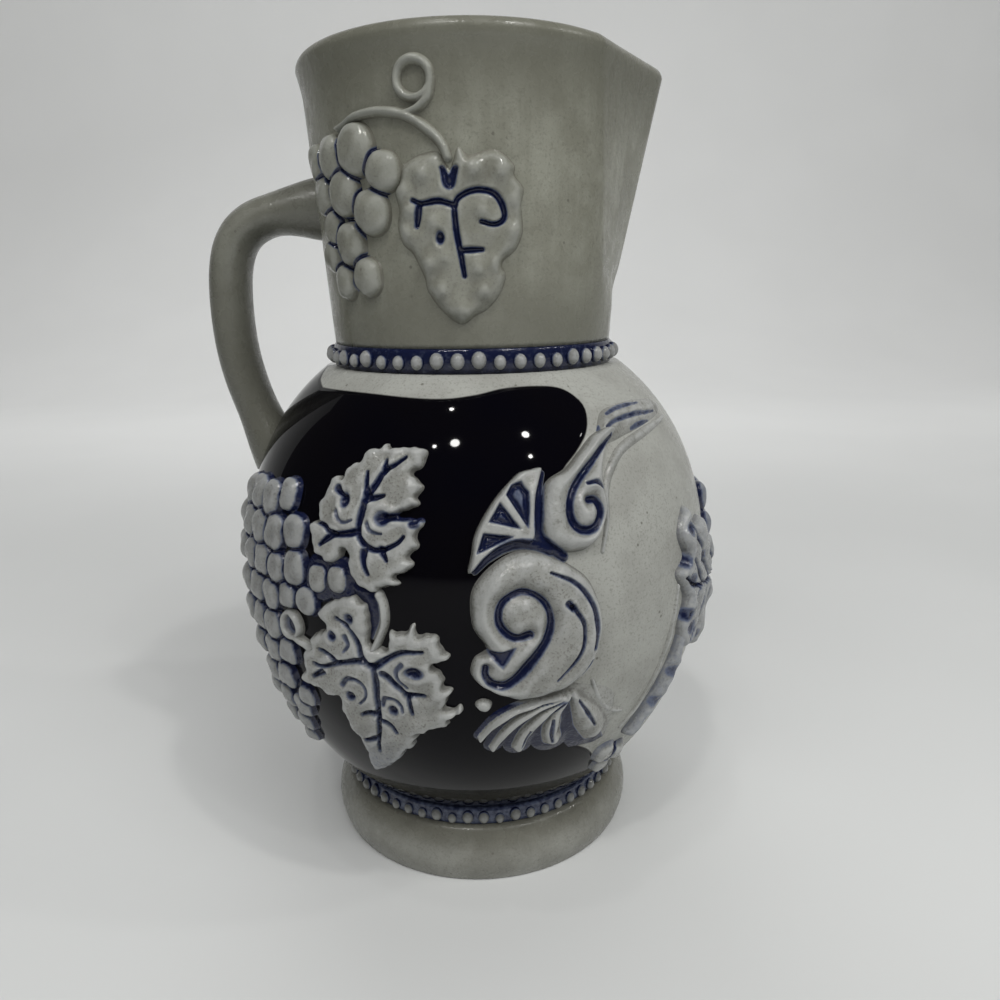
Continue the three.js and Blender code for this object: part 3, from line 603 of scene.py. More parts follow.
def crest_and_hollow_group():
    """Glaze that thins to pale clay on the crests of a relief and darkens in its hollows: gathered glaze and
    painted shade.
    """
    tree = bpy.data.node_groups.new("crest_and_hollow_shade", "ShaderNodeTree")
    add_sockets(tree, "INPUT", [
        ("Color", "Color"), ("Crest", "Float"), ("Pale", "Color"), ("Deep", "Color")])
    add_sockets(tree, "OUTPUT", [("Color", "Color")])
    given = tree.nodes.new("NodeGroupInput").outputs
    ragged = noise(tree, millimetre_coordinates(tree), 1.6, 2.0)
    level = math_node(tree, "ADD", given["Crest"], math_node(tree, "MULTIPLY", ragged, 0.3))
    pooled_and_shaded = blend_colour(tree, ramp(tree, level, 0.32, 0.62, 0.8, 0.0), given["Color"], given["Deep"])
    thinned = blend_colour(tree, ramp(tree, level, 0.7, 1.05, 0.0, 0.75), pooled_and_shaded, given["Pale"])
    add_node(tree, "NodeGroupOutput", None, {"Color": thinned})
    return tree


def painted_height_shade_group():
    """Painted shade: glaze that turns darker below one height and above another, where shade falls on the
    pot.
    """
    tree = bpy.data.node_groups.new("painted_height_shade", "ShaderNodeTree")
    add_sockets(tree, "INPUT", [
        ("Color", "Color"), ("Shade", "Color"), ("Low", "Float"), ("Low Clear", "Float"),
        ("High Clear", "Float"), ("High", "Float"), ("Amount", "Float")])
    add_sockets(tree, "OUTPUT", [("Color", "Color")])
    given = tree.nodes.new("NodeGroupInput").outputs
    up = add_node(tree, "ShaderNodeSeparateXYZ", None, {0: millimetre_coordinates(tree)}).outputs["Z"]
    below = ramp(tree, up, given["Low"], given["Low Clear"], given["Amount"], 0.0)
    above = ramp(tree, up, given["High Clear"], given["High"], 0.0, given["Amount"])
    shaded = blend_colour(tree, math_node(tree, "MAXIMUM", below, above), given["Color"], given["Shade"])
    add_node(tree, "NodeGroupOutput", None, {"Color": shaded})
    return tree


def cobalt_group():
    """Cobalt brushed into the grooves, thin and grey at its edge and navy where it pools."""
    tree = bpy.data.node_groups.new("cobalt_brush", "ShaderNodeTree")
    add_sockets(tree, "INPUT", [
        ("Color", "Color"), ("Cobalt", "Float"), ("Wash", "Color"), ("Pool", "Color")])
    add_sockets(tree, "OUTPUT", [("Color", "Color")])
    given = tree.nodes.new("NodeGroupInput").outputs
    place = millimetre_coordinates(tree)
    ragged = math_node(tree, "MULTIPLY_ADD", noise(tree, place, 1.1, 3.0), 0.9)
    ragged.node.inputs[2].default_value = -0.45
    load = math_node(tree, "ADD", given["Cobalt"], math_node(tree, "MULTIPLY", ragged, given["Cobalt"]))
    washed = blend_colour(tree, ramp(tree, load, 0.1, 0.5), given["Color"], given["Wash"])
    pooled = blend_colour(tree, ramp(tree, load, 0.38, 0.8), washed, given["Pool"])
    add_node(tree, "NodeGroupOutput", None, {"Color": pooled})
    return tree


SALT_GLAZE = salt_glaze_group()
CREST_AND_HOLLOW_SHADE = crest_and_hollow_group()
PAINTED_HEIGHT_SHADE = painted_height_shade_group()
COBALT_BRUSH = cobalt_group()


def glaze(name, body, cloud, runs, grain, peel, gloss_range):
    """A salt-glaze material, and its shader, glaze group and bump for what is laid over it."""
    material = bpy.data.materials.new(name)
    material.use_nodes = True
    tree = material.node_tree
    shader = tree.nodes["Principled BSDF"]
    group = add_node(tree, "ShaderNodeGroup", {"node_tree": SALT_GLAZE}, {
        "Body": body, "Cloud": cloud, "Speck": IRON_SPECK, "Runs": runs, "Grain": grain,
        "Gloss": gloss_range[0], "Satin": gloss_range[1]})
    bump = add_node(tree, "ShaderNodeBump", None, {
        "Height": group.outputs["Height"], "Strength": peel, "Distance": PEEL_DEPTH * METRES})
    tree.links.new(group.outputs["Color"], shader.inputs["Base Color"])
    tree.links.new(group.outputs["Roughness"], shader.inputs["Roughness"])
    tree.links.new(bump.outputs["Normal"], shader.inputs["Normal"])
    return material, shader, group, bump


def shaded_glaze(name, body, cloud, shade, levels, runs, grain, peel, gloss_range):
    """Salt glaze with a painted shade, darker below the first two levels and above the last two."""
    material, shader, group, _ = glaze(name, body, cloud, runs, grain, peel, gloss_range)
    tree = material.node_tree
    inputs = {"Color": group.outputs["Color"], "Shade": shade, "Amount": SHADE_AMOUNT}
    inputs.update(zip(("Low", "Low Clear", "High Clear", "High"), levels))
    shaded = add_node(tree, "ShaderNodeGroup", {"node_tree": PAINTED_HEIGHT_SHADE}, inputs)
    tree.links.new(shaded.outputs["Color"], shader.inputs["Base Color"])
    return material


def painted_glaze(name, body, cloud, pale, deep, grain, peel):
    """Salt glaze on a relief, worn pale on its crests and darker in its hollows with gathered glaze and
    painted shade, with cobalt where the piece carries it.
    """
    material, shader, group, _ = glaze(name, body, cloud, 0.1, grain, peel, RELIEF_GLOSS)
    tree = material.node_tree
    crest = add_node(tree, "ShaderNodeAttribute", {"attribute_name": "crest"}).outputs["Fac"]
    worn = add_node(tree, "ShaderNodeGroup", {"node_tree": CREST_AND_HOLLOW_SHADE}, {
        "Color": group.outputs["Color"], "Crest": crest, "Pale": pale, "Deep": deep})
    load = add_node(tree, "ShaderNodeAttribute", {"attribute_name": "cobalt"}).outputs["Fac"]
    brushed = add_node(tree, "ShaderNodeGroup", {"node_tree": COBALT_BRUSH}, {
        "Color": worn.outputs["Color"], "Cobalt": load, "Wash": COBALT_WASH, "Pool": COBALT_POOL})
    tree.links.new(brushed.outputs["Color"], shader.inputs["Base Color"])
    return material


def panelled_glaze(name, body, cloud, runs, grain, peel):
    """Pale salt glaze with the glossy blue-black panel over it."""
    material, shader, group, bump = glaze(name, body, cloud, runs, grain, peel, WALL_GLOSS)
    tree = material.node_tree
    shader.inputs["Specular IOR Level"].default_value = PANEL_SPECULAR
    depth = add_node(tree, "ShaderNodeAttribute", {"attribute_name": "panel"}).outputs["Fac"]
    panel = ramp(tree, depth, -0.2, 0.2)
    place = millimetre_coordinates(tree)
    ink = blend_colour(tree, noise(tree, place, 0.06, 2.0), PANEL_INK, PANEL_INK_CLOUD)
    tree.links.new(blend_colour(tree, panel, group.outputs["Color"], ink), shader.inputs["Base Color"])
    inputs = {0: panel, 2: group.outputs["Roughness"], 3: PANEL_GLOSS}
    gloss = add_node(tree, "ShaderNodeMix", None, inputs).outputs[0]
    tree.links.new(gloss, shader.inputs["Roughness"])
    bare = ramp(tree, depth, -0.4, 0.3, 1.0, 0.0)
    skin = math_node(tree, "MULTIPLY", group.outputs["Height"], bare)
    thick = math_node(tree, "MULTIPLY", ramp(tree, depth, -0.4, 0.9), PANEL_THICKNESS)
    tree.links.new(math_node(tree, "ADD", skin, thick), bump.inputs["Height"])
    return material


# Neck glaze with painted shade towards the base of the neck and towards the flaring rim.
NECK_GLAZE = shaded_glaze(
    "olive_grey_salt_glaze", (0.265, 0.268, 0.224, 1), (0.195, 0.195, 0.158, 1), (0.13, 0.13, 0.104, 1),
    NECK_SHADE, 0.6, 0.4, 0.3, WALL_GLOSS)
NECK_RELIEF_GLAZE = painted_glaze(
    "olive_grey_relief_glaze", (0.235, 0.238, 0.204, 1), (0.185, 0.186, 0.156, 1), (0.285, 0.291, 0.262, 1),
    (0.13, 0.126, 0.102, 1), 0.35, 0.4)
# Foot glaze with painted shade on the top of the foot, under the belly.
FOOT_GLAZE = shaded_glaze(
    "foot_salt_glaze", (0.245, 0.247, 0.221, 1), (0.18, 0.18, 0.157, 1), (0.1, 0.098, 0.077, 1),
    FOOT_SHADE, 0.3, 0.45, 0.3, WALL_GLOSS)
# Handle glaze: a darker copy of the wall glaze as painted shade, with more painted shade low on the handle.
HANDLE_GLAZE = shaded_glaze(
    "handle_salt_glaze", (0.17, 0.172, 0.146, 1), (0.132, 0.132, 0.11, 1), (0.095, 0.095, 0.078, 1),
    HANDLE_SHADE, 0.3, 0.4, 0.3, HANDLE_GLOSS)
RELIEF_GLAZE = painted_glaze(
    "pale_relief_glaze", (0.265, 0.269, 0.253, 1), (0.2, 0.202, 0.186, 1), (0.345, 0.353, 0.345, 1),
    (0.12, 0.119, 0.109, 1), 0.7, 0.8)
GRAPE_GLAZE = painted_glaze(
    "grape_relief_glaze", (0.225, 0.229, 0.218, 1), (0.17, 0.172, 0.162, 1), (0.28, 0.287, 0.28, 1),
    (0.11, 0.112, 0.115, 1), 0.7, 0.8)
NECK_BEAD_GLAZE = painted_glaze(
    "beaded_band_glaze", (0.24, 0.244, 0.24, 1), (0.18, 0.182, 0.178, 1), (0.31, 0.318, 0.318, 1),
    (0.085, 0.087, 0.093, 1), 0.4, 0.4)
# A darker copy of the beaded band glaze: painted shade on the band round the foot, under the belly.
FOOT_BEAD_GLAZE = painted_glaze(
    "shaded_band_glaze", (0.155, 0.158, 0.152, 1), (0.115, 0.117, 0.112, 1), (0.21, 0.215, 0.21, 1),
    (0.06, 0.061, 0.06, 1), 0.4, 0.4)
BELLY_GLAZE = panelled_glaze(
    "blue_black_panel_glaze", (0.335, 0.34, 0.315, 1), (0.285, 0.287, 0.265, 1), 0.1, 0.35, 0.2)


# Foot, belly, neck and handle

def add_foot():
    share = np.linspace(0, 1, 16)[:, None]
    base = np.array([FOOT_BASE_RADIUS, FOOT_EDGE])
    bulge = np.array([FOOT_BASE_RADIUS + FOOT_BULGE, FOOT_HEIGHT / 2])
    top = np.array([FOOT_TOP_RADIUS, FOOT_HEIGHT])
    cushion = (1 - share) ** 2 * base + 2 * share * (1 - share) * bulge + share ** 2 * top
    turn = np.linspace(0, math.pi / 2, 6)[:-1]
    sole_radius = FOOT_BASE_RADIUS - FOOT_EDGE + FOOT_EDGE * np.sin(turn)
    sole = np.stack([sole_radius, FOOT_EDGE - FOOT_EDGE * np.cos(turn)], axis=-1)
    dish_radius, dish_height = lower_bore()
    in_foot = dish_height <= FOOT_SEAM
    dish = np.stack([dish_radius, dish_height], axis=-1)[in_foot]
    profile = np.vstack([
        sole, cushion, [[FOOT_SEAT_RADIUS, FOOT_HEIGHT], [FOOT_SEAT_RADIUS, FOOT_SEAM]], dish[:-1]])
    points = turned_points(profile).reshape(-1, 3)
    faces = turned_faces(len(profile), WALL_COLUMNS, False)
    under, middle = len(points), len(points) + 1
    last_row = (len(profile) - 1) * WALL_COLUMNS
    for column in range(WALL_COLUMNS):
        beside = (column + 1) % WALL_COLUMNS
        faces.append([under, beside, column])
        faces.append([middle, last_row + column, last_row + beside])
    points = np.vstack([points, [[0, 0, 0], [0, 0, FLOOR_THICKNESS]]])
    settle(new_piece("glazed_foot", points, faces, FOOT_GLAZE), "grey_glaze", "foot")


def lower_bore():
    return oval_arc(
        BELLY_RADIUS - BELLY_WALL, 0, GIRTH_HEIGHT - FLOOR_THICKNESS, LOWER_FULLNESS, -1, LOWER_BORE_SAMPLES)


# Front edge of the dark panel, from the shoulder down behind the scrolls to the foot
PANEL_EDGE = [
    (-90, 44), (-50, 44), (-30, 44), (-10, 43.2), (0, 44), (8, 45.4), (18, 45.5), (24, 44.4),
    (27.2, 41.4), (27.2, 38.6), (25, 35), (21, 31.6), (17, 28.5), (15, 24), (14, 16), (12, 8), (13, 0),
    (14, -10), (16, -19), (19, -24.5), (24, -28.5), (30, -36), (37, -43), (40, -60), (0, -62),
    (-90, -62),
]


def add_belly():
    v = profile_steps(BELLY_LOW, BELLY_HIGH)
    outer_radius, outer_height = belly_profile(v, 0)
    top_bore = oval_arc(
        BELLY_RADIUS - BELLY_WALL, NECK_BASE_RADIUS - NECK_WALL, NECK_SEAM - GIRTH_HEIGHT, UPPER_FULLNESS, 1,
        UPPER_BORE_SAMPLES)
    low_radius, low_height = lower_bore()
    in_belly = low_height > FOOT_SEAM
    bore = np.vstack([
        np.stack(top_bore, axis=-1)[::-1], np.stack([low_radius, low_height], axis=-1)[in_belly][1:]])
    outside = np.stack([outer_radius, outer_height], axis=-1)
    profile = np.vstack([
        [[FOOT_SEAT_RADIUS, FOOT_SEAM], [FOOT_SEAT_RADIUS, BELLY_BOTTOM]], outside,
        [[NECK_SEAT_RADIUS, BELLY_TOP], [NECK_SEAT_RADIUS, NECK_SEAM]], bore])
    angle = np.arange(WALL_COLUMNS) * 2 * math.pi / WALL_COLUMNS
    from_front = np.abs((angle + math.pi) % (2 * math.pi) - math.pi)
    u = BELLY_RADIUS * (math.pi / 2 - from_front)
    panel = np.full((len(profile), WALL_COLUMNS), -2.0)
    across, along = np.meshgrid(u, v)
    panel[2:2 + len(v)] = inside_depth(across, along, smooth_line(PANEL_EDGE, closed=True))
    points = turned_points(profile).reshape(-1, 3)
    faces = turned_faces(len(profile), WALL_COLUMNS, True)
    piece = new_piece("glazed_belly", points, faces, BELLY_GLAZE, {"panel": panel.ravel()})
    settle(piece, "dark_glaze", "belly")


def lip_shift(angle, height):
    """How far the pressed lip moves the wall of the neck in or out."""
    depth = (RIM_HEIGHT - height) / LIP_DROP
    crease = np.radians(mix(LIP_CREASE_AT_RIM, LIP_CREASE_AT_FOOT, depth))
    turn = np.abs((angle + math.pi) % (2 * math.pi) - math.pi)
    wall = neck_radius(height)
    keel = mix(neck_radius(RIM_HEIGHT) + LIP_REACH, neck_radius(RIM_HEIGHT - LIP_DROP), depth)
    facet = wall * keel * np.sin(crease) / (wall * np.sin(crease - turn) + keel * np.sin(turn))
    fade = smoothstep(1 - depth, 0, LIP_FADE)
    return np.where((depth < 1) & (turn < crease), (facet - wall) * fade, 0)


def add_neck():
    rim_round = NECK_WALL / 2
    shoulder = RIM_HEIGHT - rim_round
    up = profile_steps(NECK_BOTTOM, shoulder)
    outside = np.stack([neck_radius(up), up], axis=-1)
    inside = np.stack([neck_radius(up) - NECK_WALL, up], axis=-1)[::-1]
    turn = np.linspace(0, math.pi, 13)[1:-1]
    rim_middle = neck_radius(shoulder) - rim_round
    rim = np.stack([rim_middle + rim_round * np.cos(turn), shoulder + rim_round * np.sin(turn)], axis=-1)
    seat = [[NECK_SEAT_RADIUS, NECK_SEAM], [NECK_SEAT_RADIUS, NECK_BOTTOM]]
    profile = np.vstack([seat, outside, rim, inside, [[NECK_BASE_RADIUS - NECK_WALL, NECK_SEAM]]])
    points = turned_points(profile)
    angle = np.arctan2(points[..., 1], points[..., 0])
    radius = np.hypot(points[..., 0], points[..., 1])
    spread = np.radians(np.linspace(-LIP_SOFTNESS, LIP_SOFTNESS, 7))
    shift = np.mean([lip_shift(angle + step, points[..., 2]) for step in spread], axis=0)
    points = round_the_axis(radius + shift, points[..., 2], angle).reshape(-1, 3)
    faces = turned_faces(len(profile), WALL_COLUMNS, True)
    settle(new_piece("glazed_neck", points, faces, NECK_GLAZE), "grey_glaze", "neck")


def bezier(start, pull, push, end, steps):
    share = np.linspace(0, 1, steps)[:, None]
    start, pull, push, end = (np.array(point, float) for point in (start, pull, push, end))
    rest = 1 - share
    return (
        rest ** 3 * start + 3 * rest ** 2 * share * pull
        + 3 * rest * share ** 2 * push + share ** 3 * end)


def handle_path():
    """Middle line of the handle in the plane of the lip, in even steps, with its direction."""
    root = HANDLE_SINK - neck_radius(HANDLE_TOP)
    foot_radius, foot_height = belly_profile(HANDLE_FOOT_RISE, -HANDLE_SINK)
    lean = math.radians(HANDLE_FOOT_LEAN)
    slack = HANDLE_SLACK * (HANDLE_BEND - foot_height)
    bend = bezier(
        (root, HANDLE_TOP), (mix(root, -HANDLE_REACH, HANDLE_SQUARENESS), HANDLE_TOP),
        (-HANDLE_REACH, mix(HANDLE_BEND, HANDLE_TOP, HANDLE_SQUARENESS)), (-HANDLE_REACH, HANDLE_BEND),
        HANDLE_SAMPLES)
    drop = bezier(
        (-HANDLE_REACH, HANDLE_BEND), (-HANDLE_REACH, HANDLE_BEND - slack),
        (-foot_radius - slack * math.sin(lean), foot_height + slack * math.cos(lean)),
        (-foot_radius, foot_height), HANDLE_SAMPLES)
    path = np.vstack([bend, drop[1:]])
    length = np.concatenate([[0], np.cumsum(np.hypot(*np.diff(path, axis=0).T))])
    even = np.linspace(0, length[-1], HANDLE_RINGS)
    middle = np.stack([np.interp(even, length, path[:, 0]), np.interp(even, length, path[:, 1])], axis=-1)
    along = np.gradient(middle, axis=0)
    return middle, along / np.linalg.norm(along, axis=1, keepdims=True)


def kept_in_wall(points):
    """Moves points of the handle that reach deep into a wall back to its middle."""
    radius = np.hypot(points[:, 0], points[:, 1])
    angle = np.arctan2(points[:, 1], points[:, 0])
    height = points[:, 2].copy()
    low = height < BELLY_TOP
    length, wall_radius, wall_height, out_radius, out_height = BELLY
    nearest = np.argmin(
        (radius[:, None] - wall_radius) ** 2 + (height[:, None] - wall_height) ** 2, axis=1)
    off_radius = radius - wall_radius[nearest]
    off_height = height - wall_height[nearest]
    depth = off_radius * out_radius[nearest] + off_height * out_height[nearest]
    lift = np.where(low, np.maximum(0, -BELLY_WALL / 2 - depth), 0)
    radius = radius + lift * out_radius[nearest]
    height = height + lift * out_height[nearest]
    radius = np.where(low, radius, np.maximum(radius, neck_radius(height) - NECK_WALL / 2))
    return round_the_axis(radius, height, angle)


def add_handle():
    middle, along = handle_path()
    share = np.linspace(0, 1, HANDLE_RINGS)[:, None]
    root = 1 + HANDLE_ROOT_FLARE * (1 - smoothstep(share, 0, HANDLE_FLARE_SHARE))
    foot = 1 + HANDLE_FOOT_FLARE * smoothstep(share, 1 - HANDLE_FLARE_SHARE, 1)
    turn = np.arange(HANDLE_SIDES) * 2 * math.pi / HANDLE_SIDES
    across = HANDLE_THICKNESS / 2 * root * foot * np.cos(turn)
    wide = HANDLE_WIDTH / 2 * foot * np.sin(turn)
    rings = np.stack([
        middle[:, :1] + along[:, 1:] * across,
        wide + 0 * share,
        middle[:, 1:] - along[:, :1] * across,
    ], axis=-1)
    points = kept_in_wall(rings.reshape(-1, 3))
    faces = turned_faces(HANDLE_RINGS, HANDLE_SIDES, False)
    last = (HANDLE_RINGS - 1) * HANDLE_SIDES
    faces.append(list(range(HANDLE_SIDES))[::-1])
    faces.append(list(range(last, last + HANDLE_SIDES)))
    settle(new_piece("glazed_handle", points, faces, HANDLE_GLAZE), "grey_glaze", "handle")


# Beads and grapes

def store_value(tree, geometry, name, value):
    settings = {"data_type": "FLOAT", "domain": "POINT"}
    inputs = {"Geometry": geometry, "Name": name, "Value": value}
    return add_node(tree, "GeometryNodeStoreNamedAttribute", settings, inputs).outputs[0]


def bead_form(tree):
    """A round bead of radius 1 with cobalt low on its sides, a worn crown and a darker underside of gathered
    glaze and painted shade.
    """
    low, high = BEAD_COBALT
    facets = {"Segments": BEAD_SEGMENTS, "Rings": BEAD_RINGS}
    ball = add_node(tree, "GeometryNodeMeshUVSphere", None, facets).outputs["Mesh"]
    bead = add_node(tree, "GeometryNodeSetShadeSmooth", None, {"Geometry": ball}).outputs[0]
    place = add_node(tree, "GeometryNodeInputPosition").outputs[0]
    up = add_node(tree, "ShaderNodeSeparateXYZ", None, {0: place}).outputs["Z"]
    bead = store_value(tree, bead, "cobalt", ramp(tree, up, low, high, 1.0, 0.0))
    # Crest rises with height: the crown shows pale wear, the underside the darker hollow colour, gathered
    # glaze and painted shade.
    return store_value(tree, bead, "crest", ramp(tree, up, low, 1.0, 0.1, 0.8))


def random_value(tree, given, low, high):
    inputs = {"Seed": given["Seed"], 2: low, 3: high}
    return add_node(tree, "FunctionNodeRandomValue", {"data_type": "FLOAT"}, inputs).outputs[1]


def size_spread(tree, given):
    least = math_node(tree, "SUBTRACT", 1.0, given["Spread"])
    return random_value(tree, given, least, math_node(tree, "ADD", 1.0, given["Spread"]))


def finish_tree(tree, strip, beads, material):
    """Joins the strip and its beads, realized, with their material."""
    solid = add_node(tree, "GeometryNodeRealizeInstances", None, {"Geometry": beads}).outputs[0]
    whole = add_node(tree, "GeometryNodeJoinGeometry")
    tree.links.new(strip, whole.inputs[0])
    tree.links.new(solid, whole.inputs[0])
    inputs = {"Geometry": whole.outputs[0], "Material": material}
    glazed = add_node(tree, "GeometryNodeSetMaterial", None, inputs)
    add_node(tree, "NodeGroupOutput", None, {"Geometry": glazed.outputs[0]})


def bead_tree():
    """Oval beads in a slightly uneven ring round the axis, on the strip that carries them."""
    tree = bpy.data.node_groups.new("bead_ring", "GeometryNodeTree")
    add_sockets(tree, "INPUT", [
        ("Geometry", "Geometry"), ("Beads", "Int"), ("Ring Radius", "Float"), ("Ring Height", "Float"),
        ("Bead Size", "Vector"), ("Spread", "Float"), ("Wander", "Float"), ("Seed", "Int"),
        ("Material", "Material")])
    add_sockets(tree, "OUTPUT", [("Geometry", "Geometry")])
    given = tree.nodes.new("NodeGroupInput").outputs
    ring = add_node(tree, "GeometryNodeMeshCircle", None, {
        "Vertices": given["Beads"], "Radius": given["Ring Radius"]}).outputs[0]
    wander = random_value(tree, given, math_node(tree, "MULTIPLY", given["Wander"], -1.0), given["Wander"])
    rise = math_node(tree, "ADD", given["Ring Height"], wander)
    lift = add_node(tree, "ShaderNodeCombineXYZ", None, {"Z": rise}).outputs[0]
    raised = add_node(tree, "GeometryNodeSetPosition", None, {"Geometry": ring, "Offset": lift}).outputs[0]
    place = add_node(tree, "GeometryNodeInputPosition").outputs[0]
    outward = add_node(
        tree, "ShaderNodeVectorMath", {"operation": "MULTIPLY"}, {0: place, 1: (1.0, 1.0, 0.0)}).outputs[0]
    facing = add_node(tree, "FunctionNodeAxesToRotation", {"primary_axis": "Z", "secondary_axis": "Y"}, {
        0: outward, 1: (0.0, 0.0, 1.0)}).outputs[0]
    size = add_node(tree, "ShaderNodeVectorMath", {"operation": "SCALE"}, {
        0: given["Bead Size"], "Scale": size_spread(tree, given)}).outputs[0]
    beads = add_node(tree, "GeometryNodeInstanceOnPoints", None, {
        "Points": raised, "Instance": bead_form(tree), "Rotation": facing, "Scale": size})
    finish_tree(tree, given["Geometry"], beads.outputs[0], given["Material"])
    return tree


BEAD_RING = bead_tree()


def grown(piece, tree, values):
    """Runs a node tree on a piece with the given inputs, and keeps its result as a plain mesh."""
    modifier = piece.modifiers.new(tree.name, "NODES")
    modifier.node_group = tree
    for item in tree.interface.items_tree:
        if item.in_out == "INPUT" and item.name in values:
            modifier[item.identifier] = values[item.name]
    depsgraph = bpy.context.evaluated_depsgraph_get()
    start = piece.data
    piece.data = bpy.data.meshes.new_from_object(
        piece.evaluated_get(depsgraph), preserve_all_data_layers=True, depsgraph=depsgraph)
    piece.modifiers.clear()
    bpy.data.meshes.remove(start)
    return piece


def add_bead_band(node, seat_radius, radius, seam, half, beads, bead_radius, material, cobalt, seed):
    """A strip with rounded edges over a seam, and its ring of beads."""
    turn = np.linspace(-math.pi / 2, math.pi / 2, 9)
    front = np.stack([radius - STRIP_EDGE + STRIP_EDGE * np.cos(turn), seam + half * np.sin(turn)], axis=-1)
    back = seat_radius - STRIP_EDGE
    profile = np.vstack([front, [[back, seam + half], [back, seam - half]]])
    points = turned_points(profile).reshape(-1, 3)
    faces = turned_faces(len(profile), WALL_COLUMNS, True)
    # A crest of 0 gives the whole strip the darker hollow colour: gathered glaze and painted shade between
    # the beads.
    strip = new_piece(f"glazed_{node}", points, faces, material, {
        "cobalt": np.full(len(points), cobalt), "crest": np.zeros(len(points))})
    grown(strip, BEAD_RING, {
        "Beads": beads, "Ring Radius": (radius - BEAD_SINK) * METRES, "Ring Height": seam * METRES,
        "Bead Size": tuple(share * bead_radius * METRES for share in BEAD_OVAL),
        "Spread": BEAD_SPREAD, "Wander": BEAD_WANDER * METRES, "Seed": seed, "Material": material})
    settle(strip, "cobalt_glaze", node)


def bunch_relief(grapes, reach, rim, shade, height=GRAPE_HEIGHT, squareness=GRAPE_SQUARENESS):
    """A bunch of grapes, each (u, v, half width, half height), with cobalt in the creases between them."""
    grapes = np.array(grapes, float) * [1, 1, GRAPE_FULLNESS, GRAPE_FULLNESS]
    bunch = Relief(grapes[:, :2], margin=grapes[:, 2:].max() + reach + 1)
    rounds = np.array([bunch.oval(grape[:2], *grape[2:], squareness) for grape in grapes])
    size = np.sqrt(grapes[:, 2] * grapes[:, 3])[np.argmin(rounds, axis=0)]
    ordered = np.sort(np.concatenate([rounds, np.full_like(rounds[:1], FAR)]), axis=0)
    nearest, second = ordered[0], ordered[1]
    bunch.pillow((1 - nearest) * size + reach, WEB_ROUNDING, WEB_HEIGHT)
    flatness, roundness = GRAPE_ROUNDNESS
    dome = np.clip(1 - nearest ** flatness, 0, 1) ** roundness
    bunch.lift(height * size / USUAL_GRAPE * dome)
    between = 1 - smoothstep((second - nearest) * size, *CREASE)
    bunch.wash(between * smoothstep(nearest, *CREASE_START))
    bunch.wash(rim * smoothstep(nearest, *RIM_START))
    bunch.wash(shade)
    return bunch


# Vine on the neck

NECK_LEAF = [
    (-3.2, 29.5), (-5, 32.1), (-8, 31.9), (-11.3, 30.3), (-12, 27.9), (-13, 26.2), (-12.5, 23.4),
    (-13, 20.7), (-12.2, 17.9), (-10.4, 16.1), (-8.6, 12.4), (-8, 9.9), (-5.6, 6.7), (-2.2, 4.3),
    (0.8, 5.8), (2.9, 6.9), (5.2, 9.5), (6.2, 12.4), (5.4, 14.5), (8, 16.7), (9.2, 19.9), (8.8, 23.9),
    (9.2, 26.5), (7.6, 28.5), (7.4, 30.3), (4.2, 32.5), (0, 31.6), (-1.8, 32.8),
]
NECK_LEAF_LINES = [
    [(-2.6, 23.4), (-2.4, 19.9), (-1.9, 16.9), (-1.2, 12.4)],
    [
        (-2.5, 23.7), (-1.9, 24.9), (0, 25.9), (2, 26.1), (4, 25.5), (5.2, 23.9), (5.6, 21.7), (4, 20.7),
        (1.8, 21.2),
    ],
    [(-2.5, 23.7), (-5, 24.5), (-8, 24.2), (-9.4, 24.7)],
    [(-8.3, 23.9), (-9, 20.6)],
    [(-1.6, 16.6), (1.9, 16.7)],
]
NECK_LEAF_FORK = [(-4.4, 29.6), (-3.3, 27), (-2.3, 29.4)]
NECK_LEAF_SWELLS = [
    (-7.6, 28.6), (5, 29), (0.6, 29.6), (-10.4, 26), (7.2, 24.6), (-10.8, 19.8), (7, 19.8), (2, 22.6),
    (-6, 21.2), (-7, 14.4), (4, 14.4), (-5, 10), (2, 9.8), (-1.6, 6.8), (-4.4, 15.4), (1.4, 13.4),
    (-9.6, 23),
]
NECK_STEM = [(-24, 37.2), (-18, 38.8), (-11, 38.2), (-6.6, 35.6), (-4.3, 33.2), (-3.5, 31.2)]
NECK_CURL_TAIL = [(-11, 38.1), (-8.2, 38.7), (-6.3, 40.4), (-5.7, 42.8)]
NECK_GRAPES = [
    (-20, 33.4, 3.6, 4), (-26.5, 32.9, 3, 3.6), (-14.8, 29.6, 3.1, 3.2), (-30.6, 26.9, 2.7, 3.3),
    (-23.8, 26.7, 3.4, 3.7), (-17.8, 23.3, 3.4, 3.6), (-28.4, 21.4, 2.5, 2.9), (-23.6, 18.3, 3.2, 3.6),
    (-30.2, 16.4, 2.5, 2.8), (-20.2, 12.6, 2.9, 3.2), (-26.4, 11.8, 2.6, 3), (-32, 32.6, 2.5, 3.1),
]


def leaf_relief(outline, veins, height, swelling, rounding=LEAF_ROUNDING, teeth=LEAF_TEETH):
    """A leaf whose fields swell between its edge and its veins."""
    leaf = Relief(outline)
    edge = leaf.inside(outline)
    edge = edge + teeth * sum(np.sin(a * leaf.u + b * leaf.v + c) for a, b, c in TEETH_WAVES)
    from_veins = np.min([leaf.gap(vein) for vein in veins], axis=0)
    leaf.pillow(edge, rounding, height - swelling)
    leaf.lift(swelling * rounded(np.minimum(edge, from_veins), FIELD_ROUNDING))
    return leaf


